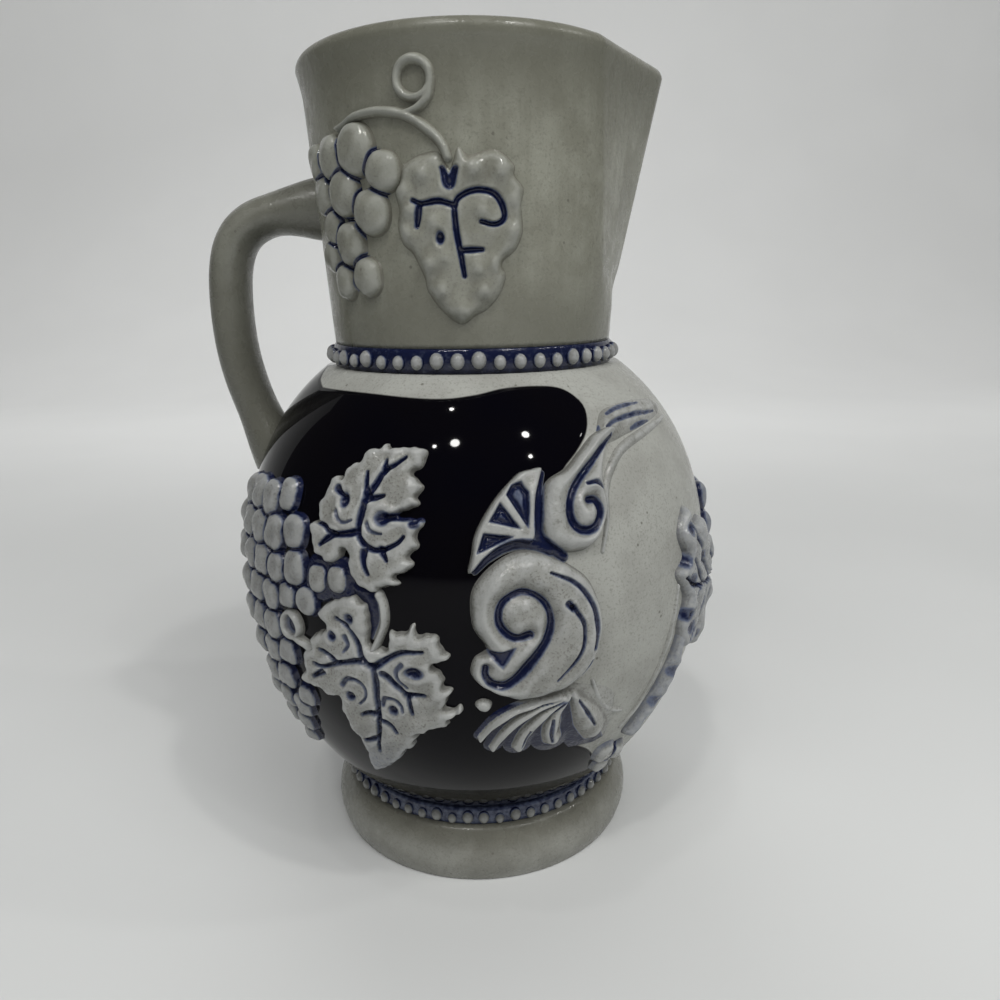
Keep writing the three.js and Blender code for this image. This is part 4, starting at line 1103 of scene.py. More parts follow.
def add_neck_vine():
    leaf = leaf_relief(
        NECK_LEAF, NECK_LEAF_LINES, NECK_LEAF_HEIGHT, NECK_LEAF_SWELLING, NECK_LEAF_ROUNDING, 0.0)
    for centre in NECK_LEAF_SWELLS:
        leaf.swell(centre, 1.4, 1.4, 0.75)
    for line in NECK_LEAF_LINES:
        leaf.groove(line, (0.42, 0.48, 0.36), 0.6)
    leaf.groove(NECK_LEAF_FORK, (0.35, 0.75, 0.5), 0.8)
    leaf.pit((-5.1, 18.7), 0.65, 0.95, 0.9)
    add_relief_pair("neck_leaf", leaf, on_neck, NECK_RELIEF_GLAZE, "grey_glaze")
    curl = curl_line((-8.5, 43.1), 2.8, 2.8, 0, 1)
    stem = Relief(np.vstack([NECK_STEM, curl]), margin=2.5)
    stem.ridge(NECK_STEM, (0.6, 0.9, 0.95, 1, 0.85), 1.4)
    stem.ridge(NECK_CURL_TAIL, (0.6, 0.85, 0.9), 1.2)
    stem.ridge(curl, (0.85, 0.95, 0.85, 0.85), 1.2)
    add_relief_pair("neck_stem", stem, on_neck, NECK_RELIEF_GLAZE, "grey_glaze")
    grapes = bunch_relief(NECK_GRAPES, 0.2, 0.0, 0.0, NECK_GRAPE_HEIGHT, NECK_GRAPE_SQUARENESS)
    add_relief_pair("neck_grapes", grapes, on_neck, NECK_RELIEF_GLAZE, "grey_glaze")


# Vine on the belly

UPPER_LEAF = [
    (-17, 8.8), (-16.5, 9.6), (-13.2, 10.3), (-14, 11.6), (-12, 12.6), (-10.9, 14), (-11.8, 15.2),
    (-10.4, 16.4), (-10, 17.2), (-10.6, 18.3), (-9.6, 20.2), (-9.3, 21.5), (-11.5, 21.4), (-14, 21.6),
    (-13.5, 22.3), (-10.4, 23.6), (-10.8, 24.8), (-10.2, 25.5), (-9.8, 26.8), (-11, 28), (-11.9, 29),
    (-10.2, 30.2), (-9.6, 32), (-10, 33.2), (-12, 33.5), (-15, 33.4), (-17.3, 33.2), (-18.2, 34.2),
    (-19, 33), (-21.3, 32.9), (-22.2, 32.2), (-22.9, 30.6), (-24.3, 30.1), (-25.6, 29), (-26.2, 27.2),
    (-27.5, 27.6), (-28.7, 27), (-29.2, 25.5), (-29.8, 23.8), (-30.4, 22.5), (-30.1, 20.5),
    (-29.9, 19.4), (-31.5, 19.3), (-32.5, 18.4), (-31.4, 17), (-31, 15), (-30, 13.5), (-28.4, 13.2),
    (-27.5, 12.4), (-26, 12.6), (-24.8, 13.3), (-24, 15), (-22.8, 14.6), (-22.8, 13), (-22.2, 11),
    (-20.8, 9.6), (-19, 8.7),
]
UPPER_LEAF_VEINS = [
    [
        (-19.8, 24.3), (-20.6, 21.5), (-20.8, 19), (-20, 17.2), (-18.3, 16), (-16, 16), (-13.5, 17.2),
        (-12.5, 18.3),
    ],
    [(-20.9, 18.6), (-23, 18), (-26, 17.7), (-27.8, 18.8), (-29.8, 19.2)],
    [(-26, 17.6), (-28.6, 15.5)],
    [(-19.8, 24.3), (-20.3, 26.5), (-20.6, 28.4)],
    [(-19.6, 24.3), (-18.3, 26.8), (-17, 28.8), (-15, 30), (-13.3, 31.2)],
    [(-17, 28.9), (-17.1, 30.6)],
    [(-19.6, 24), (-18, 24.3), (-16.6, 24.7)],
    [(-16.2, 16), (-15.3, 14.3)],
    [(-19.4, 15.4), (-19.4, 13.8), (-18.6, 11.8)],
    [(-26.2, 25.2), (-24.6, 24)],
]
UPPER_LEAF_ARCS = [
    [(-19.2, 20), (-18.4, 18.9), (-17, 18.6), (-16.2, 18.6)],
    [(-25.7, 21.4), (-24.8, 20), (-23.5, 19.8), (-22.2, 20.3)],
]
LOWER_LEAF = [
    (-18.5, -1.2), (-19.3, 0), (-18.8, 2), (-18.9, 4.5), (-19.3, 6.3), (-20.2, 6.8), (-21.8, 7.6),
    (-24, 7.2), (-27, 5.8), (-29.3, 3.6), (-28, 2), (-27.5, 1), (-28.5, 0.3), (-31.5, -1.5),
    (-31.2, -3.2), (-33.8, -4.5), (-34.2, -7), (-33.8, -8.3), (-35, -9.5), (-35.8, -10.8), (-34.5, -12),
    (-31, -12), (-29, -13), (-26.5, -12.6), (-26.6, -14), (-26.3, -16.5), (-25.8, -19), (-24.5, -21.3),
    (-24, -24), (-24.3, -27), (-24.2, -30.5), (-22.3, -30.2), (-20, -29), (-17.5, -26.5),
    (-15.5, -24.3), (-14.5, -22.3), (-13, -21.6), (-12.6, -20.3), (-11.8, -19), (-12, -18.2),
    (-10.2, -17.8), (-9, -16.6), (-7.5, -16.2), (-5.6, -15.8), (-5.8, -14.6), (-4.5, -13.6),
    (-3.2, -12.7), (-3.6, -11.6), (-5, -12.4), (-6.2, -12), (-5.8, -10.4), (-4.8, -8.4), (-6.2, -7.6),
    (-6.2, -6), (-7, -4.6), (-8, -3.8), (-7.5, -3.2), (-5.6, -2.6), (-5.1, -1.6), (-6, -0.8),
    (-6.6, 0.4), (-7.2, 2), (-8.5, 2.1), (-10, 1.8), (-10.6, 2), (-10.9, 3.8), (-12.3, 2.4), (-14, 2),
    (-15.2, 2.1), (-15.5, 0.5), (-16, -1.2), (-17.2, -1),
]
LOWER_LEAF_VEINS = [
    [(-18.2, -4.2), (-18, -6), (-18.2, -10), (-18.3, -14), (-19, -17.5), (-19.8, -21), (-20.3, -23.5)],
    [(-19.5, -3.8), (-20.3, -2.5), (-20.6, -0.8), (-21.8, 1.5), (-23.5, 2.9), (-25, 3.4)],
    [(-18.6, -4.2), (-20.5, -3.7), (-23, -4.3), (-25, -4.8), (-28, -6.2), (-31, -6.4)],
    [(-25.5, -4.7), (-27.5, -3.6), (-29.2, -3.3)],
    [(-29, -7.5), (-32, -9.5)],
    [(-17.5, -4), (-15, -2.2), (-12.5, -1), (-9.5, -0.8)],
    [(-16.5, -5.3), (-14.5, -7), (-12.6, -9), (-12.2, -11), (-12, -13)],
    [(-12.6, -9), (-9.5, -9)],
    [(-18.3, -13.8), (-20.5, -14.2), (-22, -15)],
    [(-18, -15), (-16.3, -16.2), (-15.5, -17.7)],
    [(-20, -20), (-22.8, -21.2)],
]
LOWER_LEAF_ARCS = [
    [(-24.8, -9), (-23.5, -7.5), (-21.5, -7.2), (-20.2, -8.8), (-20.2, -10.5), (-21.5, -12)],
    [(-17.2, -11.5), (-16.5, -10), (-15, -10), (-13.7, -11.2), (-13.5, -12.5)],
    [(-13, -3.2), (-14, -4.5), (-13.7, -6.2), (-12.3, -7.5)],
    [(-23.2, 0.4), (-22.6, -1), (-23.5, -2.3)],
]
LEAF_STALK = [(-17, 8.3), (-16.3, 6.5), (-16.2, 3.5), (-17.5, 0), (-18.3, -1.5)]
STALK_POCKET = [(-22.6, 9.4), (-19.6, 8), (-18, 5.6), (-17.9, 2.6), (-18.6, 0.4)]
TENDRIL_TAIL = [(-32, -4.3), (-34.4, -3.6)]
BELLY_GRAPES = [
    (-40, 22.6, 2.5, 2.9), (-45.8, 21, 3, 3.3), (-52, 21, 3, 3.3), (-57.5, 20.5, 2.8, 3.1),
    (-36.3, 16.5, 2.8, 2.9), (-42.6, 15.2, 3.1, 3.2), (-49, 15, 3, 3.1), (-55, 14.8, 2.9, 3.1),
    (-60.8, 15.2, 2.6, 2.9), (-35.4, 10.2, 2.6, 3.1), (-41.1, 9, 2.6, 2.7), (-46.8, 9.2, 2.9, 2.9),
    (-52.6, 9, 2.8, 2.9), (-58.4, 9.2, 2.7, 2.9), (-32.3, 4.8, 2.3, 2.5), (-37.8, 4.6, 2.3, 2.3),
    (-43.2, 3.4, 2.6, 2.8), (-49.2, 3.4, 2.9, 2.8), (-55.2, 3.4, 2.8, 2.8), (-43.4, -2.6, 2.7, 2.8),
    (-49, -2.6, 2.8, 2.8), (-54.8, -2.6, 2.7, 2.8), (-39.4, -7, 2.6, 2.5), (-45.2, -8.2, 2.8, 2.7),
    (-51, -8.2, 2.8, 2.7), (-42.4, -13.2, 2.9, 2.7), (-48.2, -13.8, 2.8, 2.7), (-36.8, -16, 2.1, 2.1),
    (-39.8, -19.4, 2.6, 2.5), (-45.4, -19.2, 2.7, 2.6), (-51, -18.8, 2.3, 2.4), (-42.6, -24.6, 2.5, 2.4),
    (-47.8, -24.4, 2.3, 2.3), (-44.8, -29.4, 2.2, 2.2),
]
SMALL_GRAPES = [(-29.4, 9.4, 1.9, 2.3), (-25.1, 9.9, 1.9, 2.2)]


def add_belly_relief(name, relief, material=RELIEF_GLAZE, replaced=True):
    add_relief_pair(name, relief, on_belly, material, "pale_glaze", replaced)


def add_belly_vine():
    upper = leaf_relief(UPPER_LEAF, UPPER_LEAF_VEINS, LEAF_HEIGHT, LEAF_SWELLING)
    for line in UPPER_LEAF_VEINS:
        upper.groove(line, VEIN, 0.7)
    for line in UPPER_LEAF_ARCS:
        upper.groove(line, FINE_VEIN, 0.6, 0.5)
    upper.groove([(-15.6, 21.2), (-12.6, 21.6), (-9.6, 21.8)], (0.5, 0.9), 1.6)
    upper.pit((-16.4, 21), 1.25, 1.05, 1.4)
    upper.pit((-24.2, 23.4), 0.8, 1.1, 1.0)
    upper.pit((-10.8, 20.6), 0.8, 0.8, 0.7)
    add_belly_relief("belly_upper_leaf", upper)

    lower = leaf_relief(LOWER_LEAF, LOWER_LEAF_VEINS, LEAF_HEIGHT, LEAF_SWELLING)
    for line in LOWER_LEAF_VEINS:
        lower.groove(line, VEIN, 0.7, 0.75)
    for line in LOWER_LEAF_ARCS:
        lower.groove(line, FINE_VEIN, 0.6, 0.6)
    for centre in ((-23.4, -11), (-15.3, -12.5), (-25.7, 0.2), (-22.2, 3.8)):
        lower.pit(centre, 0.8, 0.8, 0.8, 0.85)
    lower.pit((-11, -4.6), 1.4, 0.85, 1.0)
    # Cobalt wash, heavier towards the bottom of the leaf: blue tint and painted shade on its downward-facing
    # lower part.
    lower.wash(mix(0.3, 0.12, smoothstep(lower.v, -30, -14)))
    add_belly_relief("belly_lower_leaf", lower)

    stalk = Relief(LEAF_STALK + STALK_POCKET, margin=2.5)
    stalk.ridge(STALK_POCKET, (0.9, 1.5, 1.6, 1.2, 0.5), 0.5)
    stalk.wash(1.0)
    stalk.cobalt *= smoothstep(stalk.stroke(LEAF_STALK, (1, 1)), 0.8, 1.2)
    stalk.ridge(LEAF_STALK, (0.9, 0.85, 0.8, 0.75), 1.5)
    add_belly_relief("belly_stalk", stalk)

    curl = np.vstack([TENDRIL_TAIL, curl_line((-37, -0.9), 2.5, 2.1, 0.8, -0.95)])
    tendril = Relief(curl, margin=2)
    tendril.pillow(1 - tendril.oval((-37, -0.9), 1.9, 1.9), 1.0, 0.5)
    tendril.paint(tendril.oval((-37, -0.9), 1.4, 1.4))
    tendril.ridge(curl, (0.9, 0.8), 1.6)
    add_belly_relief("belly_tendril", tendril)

    grapes = bunch_relief(BELLY_GRAPES, WEB_REACH, 1.0, 0.17)
    add_belly_relief("belly_grapes", grapes, GRAPE_GLAZE)
    small = bunch_relief(SMALL_GRAPES, 1.6, 1.0, 0.12)
    add_belly_relief("belly_small_grapes", small, GRAPE_GLAZE)


# Scrolled border of the front field

FAN = [
    (-1.8, 12.6), (-1.2, 15.5), (-0.8, 18), (0, 20), (1.2, 22), (2.5, 23.8), (4, 25.5), (6, 27.3),
    (8, 28.8), (10.3, 29.3), (12.6, 29.3), (11.8, 26.8), (10.8, 24.5), (10.4, 21.5), (10.2, 18.5),
    (9, 16.8), (6.5, 17.2), (3.5, 16.3), (1, 14.5), (-0.5, 12.8),
]
FAN_WINDOWS = [
    [(5.2, 25), (6.2, 26.6), (8, 27), (9.2, 25.2), (9, 22), (8.6, 19.5)],
    [(2, 20.8), (4, 23.8), (7.2, 19.5)],
    [(-0.2, 15.8), (1, 19), (6, 18.3)],
]
UPPER_SCROLL = [
    (11.2, 17.8), (12.8, 16), (15.5, 14.8), (19, 14.9), (22, 16.6), (24.2, 20), (24.6, 24), (25.6, 28),
    (28, 31.4), (32.4, 34.2), (30.4, 35.4), (25.6, 34.2), (21.6, 31.8), (17.5, 29), (13.8, 27.4),
    (12.2, 25.6), (11.2, 22),
]
UPPER_SPIRAL = [
    (30.4, 33.6), (26.4, 31.6), (22.6, 29.1), (19.4, 26.8), (17, 24.2), (16.2, 21.5), (17, 19),
    (19, 18.1), (21, 18.7), (22.2, 20.8), (21.6, 22.8), (20.2, 23),
]
UPPER_SPIRAL_WIDTHS = (0.25, 0.45, 0.6, 0.65, 0.65, 0.55)
LOWER_SCROLL = [
    (-1.5, 7), (-1, 3), (1, -0.4), (-1, -2.2), (-1.7, -5), (-0.4, -7.3), (2, -9), (5, -10.4),
    (8, -10.7), (12, -10.2), (16.5, -8.8), (19.5, -6), (21.3, -2), (21.7, 2), (21, 6), (19, 10),
    (16, 12.6), (13, 14.4), (10, 15.6), (7, 15.9), (4, 14.9), (1, 12.7), (-1, 10),
]
LOWER_SPIRAL = [
    (8, 2), (6, 1.6), (4, 2.8), (3, 5), (3.6, 7.6), (6, 9.2), (8.5, 9), (10.8, 7), (11.7, 4), (11, 1),
    (9, -2), (6.5, -5), (4, -6.8), (2, -6.6), (0.8, -5), (0.8, -3.5),
]
LOWER_SPIRAL_WIDTHS = (0.65, 0.6, 0.5, 0.45, 0.5, 0.65, 0.8, 0.7, 0.45)
LOWER_WEDGE = [(0.8, -0.6), (5.8, 0), (3.6, -3.2)]
LOWER_SCROLL_ARCS = [
    ([(11.6, 12.2), (15.5, 10.2), (18.2, 7), (19.6, 3), (19.7, -2)], (0.2, 0.4, 0.5, 0.5)),
    ([(15.2, 6.2), (17, 3), (17, -0.5), (15.4, -3.8), (12.6, -6.4)], (0.4, 0.3, 0.28, 0.18)),
    ([(14.4, 6.8), (15.2, 5.8)], (0.55, 0.45)),
    ([(19, -4.4), (17, -6.6)], (0.35, 0.2)),
]
BORDER_GAPS = [
    [(12.6, 28.4), (11.5, 25.6), (10.8, 22), (10.5, 18.5), (12, 16.4), (14.8, 14.2)],
    [(-0.6, 12.7), (1.8, 15), (5.5, 16.9), (9.6, 16.7), (12.6, 15.4)],
]
FEATHER_LOBES = [
    ([(14, -11), (8, -12.2), (3, -14.8), (-0.3, -18.8)], (0.5, 0.65, 0.75, 0.65)),
    ([(14.6, -11.2), (9, -13.4), (4.6, -17), (2, -21.4)], (0.55, 0.75, 0.95, 0.9)),
    ([(15, -11.4), (11, -14.6), (8, -18.4), (6.8, -21.4)], (0.6, 0.9, 1.4, 1.45)),
    ([(15.4, -11), (13.4, -15), (13, -18.6), (13.4, -20.6)], (0.7, 1.3, 2.0, 2.1)),
    ([(16.4, -11), (18.6, -14.6), (21, -18.4), (22.6, -20.8)], (0.9, 2.1, 3.3, 3.2)),
]
FEATHER_SIDE = (17, -11)
FEATHER_LEAN = 0.62
FEATHER_GROOVES = [
    [(5.6, -17.4), (3.6, -20.6)],
    [(8.8, -17.4), (7.4, -20.9)],
    [(12.9, -15.6), (12.7, -18.4), (13.2, -20.8)],
    [(17.4, -12.2), (19.6, -15.5), (21.8, -19)],
]
PLUME = [
    (26.4, 32.6), (30, 32.4), (36, 33.4), (46, 34.6), (57, 35.6), (60.5, 37), (57, 38.8), (46, 39.8),
    (36, 39.4), (30.5, 38),
]
PLUME_STROKES = [
    [(32.4, 37.8), (36, 38.6), (41, 39), (47, 38.8)],
    [(30.4, 35.2), (34, 36.2), (42, 36.7), (52, 36.2)],
    [(38, 34.2), (42, 34.7), (47, 34.8)],
    [(27.4, 34), (28.8, 35.8)],
]
FIELD_RIMS = [
    [(22.6, 14), (24.4, 19), (25.6, 24.5), (28.6, 28.4), (34, 31.4), (45, 33.4), (58, 34.4)],
    [(20.6, -9.6), (22.4, -13.8), (25.4, -17.4), (29.4, -19.4)],
    [(42.6, 3), (42.2, -1), (41.2, -6), (38.6, -13.4), (35, -19.6), (31, -24.6)],
]
SWAG = [(45, -8), (43.8, -13), (41.2, -18), (37.8, -22.4), (34, -26.4)]
SWAG_WIDTHS = (1.8, 2.5, 2.7, 2.3, 1.4)
SWAG_BLOTCHES = [
    (45.4, -10.6, 1.2, 1.6), (42.6, -14.6, 1.6, 1.2), (43, -18.6, 1.1, 1.4), (39, -20.2, 1.8, 1.2),
    (37, -24.4, 1.2, 1.4),
]
KNOT = [(29, -31, 2.3, 2.1), (33, -32.4, 2.3, 2.1), (30.6, -35.7, 2.1, 1.9)]
PEARL = [(0.4, -11.6, 1.3, 1.0)]


def add_fan():
    fan = Relief(FAN, margin=5)
    fan.pillow(fan.inside(FAN), 0.9, FAN_HEIGHT)
    for window in FAN_WINDOWS:
        depth = inside_depth(fan.u, fan.v, np.array(window))
        middle = smoothstep(depth, 0.5, 1.4)
        fan.lift(0.5 * middle - 1.1 * smoothstep(depth, -0.3, 0.4))
        fan.wash(smoothstep(depth, -0.3, 0.3) * (1 - 0.55 * middle))
    for line in BORDER_GAPS:
        fan.ridge(line, (0.6, 1.2, 1.1), 0.5)
        fan.paint(fan.stroke(line, (0.4, 0.8, 0.75)))
    add_belly_relief("border_fan", fan)


def scroll_relief(outline, spiral, widths, arcs, roll):
    """A scroll whose bands are rolled between its edge and its spiral groove."""
    scroll = Relief(outline)
    edge = scroll.inside(outline)
    scroll.pillow(edge, 1.1, SCROLL_BASE)
    scroll.lift(SCROLL_ROLL * rounded(np.minimum(edge, scroll.gap(spiral)), roll))
    scroll.paint(scroll.stroke(spiral, widths))
    for line, arc_widths in arcs:
        scroll.groove(line, arc_widths, 0.7, 0.8)
    for line in BORDER_GAPS:
        scroll.paint(scroll.stroke(line, (0.75, 0.75)))
    return scroll


def add_scrolls():
    arcs = [([(20.4, 25.6), (22, 25.6), (23.6, 24.6)], (0.3, 0.4, 0.25))]
    upper = scroll_relief(UPPER_SCROLL, UPPER_SPIRAL, UPPER_SPIRAL_WIDTHS, arcs, 2.6)
    add_belly_relief("border_upper_scroll", upper)
    lower = scroll_relief(LOWER_SCROLL, LOWER_SPIRAL, LOWER_SPIRAL_WIDTHS, LOWER_SCROLL_ARCS, 3.0)
    wedge = smoothstep(inside_depth(lower.u, lower.v, np.array(LOWER_WEDGE)), -0.4, 0.5)
    lower.lift(-0.8 * wedge)
    lower.wash(0.9 * wedge)
    add_belly_relief("border_lower_scroll", lower)


def add_feather():
    """Fingers that spread below the scroll, with cobalt on the ground between them."""
    feather = Relief(np.vstack([line for line, _ in FEATHER_LOBES]), margin=4)
    gaps = [feather.stroke(line, widths) for line, widths in FEATHER_LOBES]
    nearest, second = np.sort(gaps, axis=0)[:2]
    feather.pillow(2.0 - nearest, 1.0, 0.4)
    between = np.maximum(smoothstep(nearest, 0.85, 1.05), 1 - smoothstep(second - nearest, 0.4, 0.9))
    beside = feather.u - FEATHER_SIDE[0] + (feather.v - FEATHER_SIDE[1]) * FEATHER_LEAN
    feather.wash(between * (1 - smoothstep(feather.v, -12.6, -11)) * (1 - smoothstep(beside, 0, 1)))
    for gap in gaps:
        feather.pillow(1 - gap, 1.0, FEATHER_HEIGHT)
    for line in FEATHER_GROOVES:
        feather.groove(line, (0.2, 0.4, 0.2), 0.6, 0.75)
    add_belly_relief("border_feather", feather)


def add_field_trim():
    plume = Relief(PLUME, margin=2)
    plume.pillow(plume.inside(PLUME), 3.0, PLUME_HEIGHT)
    for line in PLUME_STROKES:
        plume.groove(line, (0.3, 0.5, 0.45, 0.2), 0.4, 0.62)
    add_belly_relief("border_plume", plume)
    rim = Relief(np.vstack(FIELD_RIMS), margin=2)
    for line in FIELD_RIMS:
        rim.ridge(line, (0.4, 1.0, 0.9, 0.4), FIELD_RIM_HEIGHT)
    add_belly_relief("field_rim", rim, replaced=False)
    swag = Relief(SWAG, margin=3.5)
    swag.ridge(SWAG, SWAG_WIDTHS, SWAG_HEIGHT)
    swag.wash(0.26)
    for u, v, half_u, half_v in SWAG_BLOTCHES:
        swag.pit((u, v), half_u, half_v, 0.5, 0.6)
    add_belly_relief("front_swag", swag, replaced=False)
    knot = bunch_relief(KNOT, 0.6, 0.3, 0.1)
    add_belly_relief("border_knot", knot)
    pearl = bunch_relief(PEARL, 0.1, 0.0, 0.0, PEARL_HEIGHT, PEARL_SQUARENESS)
    add_belly_relief("border_pearl", pearl)


# Leaves and grapes in the middle of the front

FRONT_LEAF = [
    (-13.6, 2), (-16, 8.4), (-21, 9), (-22.6, 13.8), (-28.4, 13.4), (-30.2, 17.4), (-34.6, 13),
    (-33, 8.2), (-36.4, 5.4), (-33, 0), (-34.8, -5.6), (-32.8, -11), (-28.2, -9.4), (-25.4, -13.4),
    (-20.2, -10.6), (-18, -6.2), (-13.8, -4.4),
]
FRONT_LEAF_VEINS = [
    [(-14, -1), (-22, 0), (-30, 1.6), (-34.6, 4.6)],
    [(-20, -0.4), (-26, 6), (-30, 13.6)],
    [(-21, -0.4), (-26, -5), (-31.6, -9)],
    [(-18, 0), (-20.6, 6)],
    [(-18, -0.6), (-22.4, -9)],
    [(-27, 1), (-31, 7)],
    [(-27, 1), (-32, -3.4)],
]
FRONT_LEAF_SWELLS = [(-33.4, 10.6), (-32.4, -1.4), (-31, -9.4), (-26, 10), (-24, -9), (-19, 5), (-18, -4)]
FRONT_LEAF_BLOTCHES = [
    (-31.6, 13), (-33.6, 7.4), (-31.4, 3), (-33, -3.4), (-31.4, -6.4), (-27, -10), (-26, 6),
]
FRONT_ROWS = [(3, 13.4), (4, 7.7), (3, 2), (4, -3.7), (3, -9.4), (2, -15.1), (1, -20.8)]
FRONT_GRAPE_SPACING = 5.8


def add_front_vine():
    leaf = leaf_relief(
        FRONT_LEAF, FRONT_LEAF_VEINS, LEAF_HEIGHT, LEAF_SWELLING, FRONT_LEAF_ROUNDING, 0.0)
    for centre in FRONT_LEAF_SWELLS:
        leaf.swell(centre, 2.0, 2.2, 0.7)
    leaf.wash(0.22)
    for centre in FRONT_LEAF_BLOTCHES:
        leaf.pit(centre, 1.5, 1.3, 0.6, 0.7)
    for line in FRONT_LEAF_VEINS:
        leaf.groove(line, VEIN, 0.9)
    add_relief_pair("front_leaf", leaf, on_front, RELIEF_GLAZE, "pale_glaze")
    grapes = []
    for count, v in FRONT_ROWS:
        for place in range(count):
            grapes.append((FRONT_GRAPE_SPACING * (place - (count - 1) / 2), v, 2.8, 2.9))
    points, quads, values = bunch_relief(grapes, WEB_REACH, 1.0, 0.3).mesh_parts(on_front)
    piece = new_piece("glazed_front_grapes", points, quads.tolist(), GRAPE_GLAZE, values)
    settle(piece, "cobalt_glaze", "front_grapes")


add_foot()
add_belly()
add_neck()
add_handle()
add_bead_band(
    "foot_bead_band", FOOT_SEAT_RADIUS, FOOT_BAND_RADIUS, FOOT_SEAM, FOOT_BAND_HALF,
    FOOT_BEADS, FOOT_BEAD_RADIUS, FOOT_BEAD_GLAZE, FOOT_STRIP_COBALT, 3)
add_bead_band(
    "neck_bead_band", NECK_SEAT_RADIUS, NECK_BAND_RADIUS, NECK_SEAM, NECK_BAND_HALF,
    NECK_BEADS, NECK_BEAD_RADIUS, NECK_BEAD_GLAZE, NECK_STRIP_COBALT, 5)
add_neck_vine()
add_belly_vine()
add_fan()
add_scrolls()
add_feather()
add_field_trim()
add_front_vine()


# Floor, light and camera, in metres

FLOOR_HALF_WIDTH = 2.2
FLOOR_FRONT = -2.4
SWEEP_START = 0.7
SWEEP_RADIUS = 0.5
WALL_TOP = 1.7
SWEEP_STEPS = 24
PAPER = (0.585, 0.595, 0.59, 1)
PAPER_CLOUD = (0.61, 0.62, 0.615, 1)
PAPER_ROUGHNESS = 0.7
GLOW_COLOUR = (1.0, 1.0, 0.985, 1)
GLOW_START = 0.1
GLOW_FULL = 0.6
BACKDROP_GLOW = 0.235


def add_floor():
    material = bpy.data.materials.new("pale_paper")
    material.use_nodes = True
    tree = material.node_tree
    shader = tree.nodes["Principled BSDF"]
    place = add_node(tree, "ShaderNodeTexCoord").outputs["Object"]
    tone = ramp(tree, noise(tree, place, 6.0, 2.0), 0.3, 0.7)
    paper = blend_colour(tree, tone, PAPER, PAPER_CLOUD)
    shader.inputs["Roughness"].default_value = PAPER_ROUGHNESS
    seen = add_node(tree, "ShaderNodeLightPath").outputs
    shown = math_node(tree, "MAXIMUM", seen["Is Camera Ray"], seen["Is Glossy Ray"])
    shown = math_node(tree, "MAXIMUM", shown, seen["Is Transmission Ray"])
    depth = add_node(tree, "ShaderNodeSeparateXYZ", None, {0: place}).outputs["Y"]
    tree.links.new(paper, shader.inputs["Base Color"])
    level = ramp(tree, depth, GLOW_START, GLOW_FULL, 0.0, BACKDROP_GLOW)
    tree.links.new(math_node(tree, "MULTIPLY", shown, level), shader.inputs["Emission Strength"])
    shader.inputs["Emission Color"].default_value = GLOW_COLOUR
    profile = [(FLOOR_FRONT, 0), (SWEEP_START, 0)]
    for turn in np.linspace(0, math.pi / 2, SWEEP_STEPS)[1:]:
        y = SWEEP_START + SWEEP_RADIUS * math.sin(turn)
        profile.append((y, SWEEP_RADIUS * (1 - math.cos(turn))))
    profile.append((SWEEP_START + SWEEP_RADIUS, WALL_TOP))
    points = []
    for x in (-FLOOR_HALF_WIDTH, FLOOR_HALF_WIDTH):
        points += [(x / METRES, y / METRES, z / METRES) for y, z in profile]
    rows = len(profile)
    faces = [[i, rows + i, rows + i + 1, i + 1] for i in range(rows - 1)]
    new_piece("paper_sweep", np.array(points), faces, material)


def add_lamp(name, place, size, power, colour):
    light = bpy.data.lights.new(name, "AREA")
    light.shape = "DISK"
    light.size = size
    light.energy = power
    light.color = colour
    lamp = bpy.data.objects.new(name, light)
    lamp.location = place
    lamp.rotation_euler = (Vector(LAMP_TARGET) - Vector(place)).to_track_quat("-Z", "Y").to_euler()
    bpy.context.scene.collection.objects.link(lamp)
    return lamp


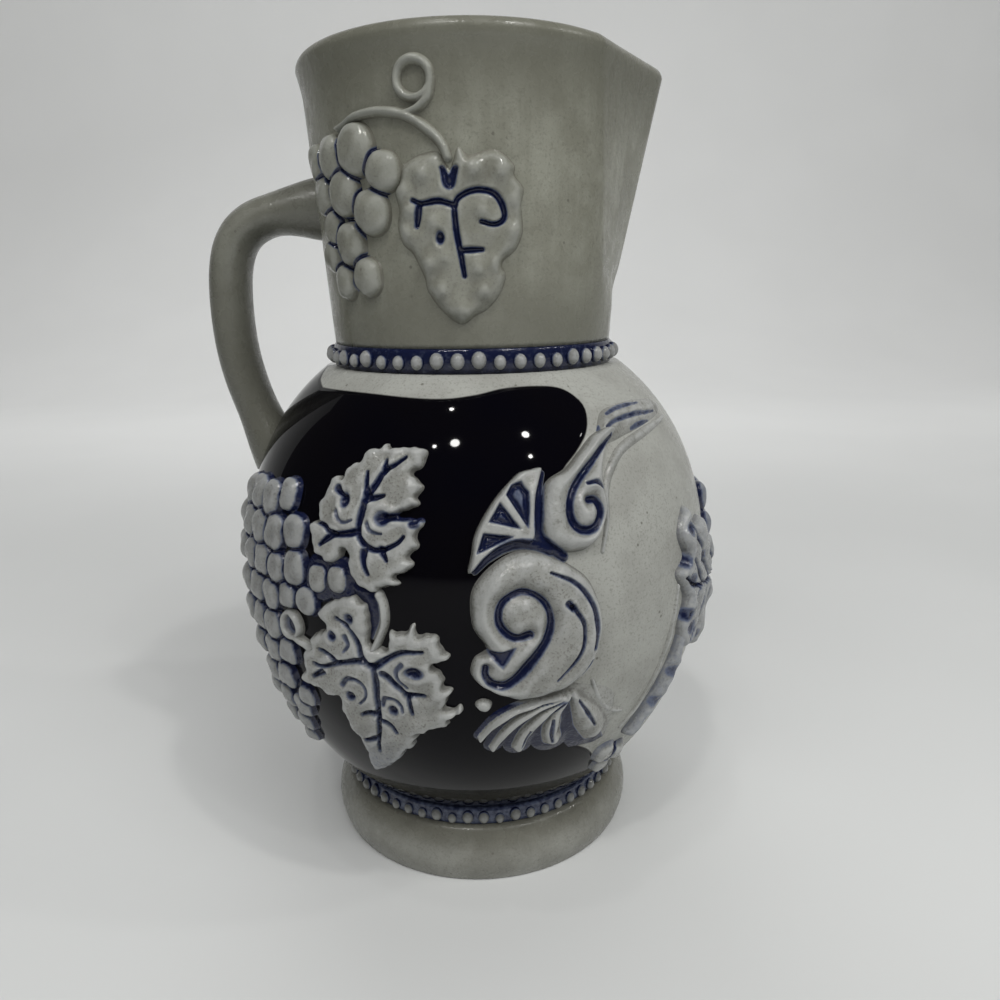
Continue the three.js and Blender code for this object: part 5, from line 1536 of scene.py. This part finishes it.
# Name, place, diameter and power of each lamp
CEILING_LAMPS = [
    ("lamp_front_left", (-0.155, -0.54, 0.94), 0.07, 1.3),
    ("lamp_front_right", (0.37, -0.42, 0.94), 0.055, 1.3),
    ("lamp_far_left", (-0.31, -0.53, 0.91), 0.03, 0.32),
    ("lamp_far_right", (0.42, -0.58, 0.83), 0.03, 0.5),
    ("lamp_above", (-0.16, -0.22, 1.06), 0.03, 0.4),
    ("lamp_side", (0.76, -0.16, 0.75), 0.05, 0.7),
]
SOFT_BOXES = [
    ("soft_box_right", (0.5, -0.7, 0.9), 0.8, 6.6),
    ("soft_box_left", (-0.45, -0.75, 0.9), 0.8, 3.5),
    ("soft_box_above", (0.1, 0.3, 1.3), 0.9, 2.0),
    ("soft_box_back", (-0.2, 0.75, 0.85), 0.8, 2.3),
]
LAMP_TARGET = (0, 0, 0.08)
LAMP_COLOUR = (1.0, 0.99, 0.96)
BOX_COLOUR = (1.0, 1.0, 1.0)
WORLD_LEVEL = 0.06

CAMERA_PLACE = (0.0, -0.169685, 0.118042)
CAMERA_RIGHT = (0.99930342, -0.0345755, -0.01404335)
CAMERA_UP = (0.02250575, 0.25817414, 0.96583622)
CAMERA_FORWARD = (0.02976864, 0.96547949, -0.25877245)
CAMERA_LENS = 28.14
SENSOR_WIDTH = 36.0
CLIP_START = 0.01


def add_light():
    for name, place, size, power in CEILING_LAMPS:
        add_lamp(name, place, size, power, LAMP_COLOUR)
    for name, place, size, power in SOFT_BOXES:
        box = add_lamp(name, place, size, power, BOX_COLOUR)
        box.visible_glossy = False
    world = bpy.data.worlds.new("studio")
    world.use_nodes = True
    background = world.node_tree.nodes["Background"]
    background.inputs["Color"].default_value = (1.0, 1.0, 1.0, 1)
    background.inputs["Strength"].default_value = WORLD_LEVEL
    bpy.context.scene.world = world


def add_camera():
    data = bpy.data.cameras.new("camera")
    data.sensor_width = SENSOR_WIDTH
    data.lens = CAMERA_LENS
    data.clip_start = CLIP_START
    camera = bpy.data.objects.new("camera", data)
    turn = Matrix((CAMERA_RIGHT, CAMERA_UP, -Vector(CAMERA_FORWARD))).transposed().to_4x4()
    camera.matrix_world = Matrix.Translation(CAMERA_PLACE) @ turn
    bpy.context.scene.collection.objects.link(camera)
    bpy.context.scene.camera = camera


add_floor()
add_light()
add_camera()
bpy.context.scene.view_settings.view_transform = "Standard"
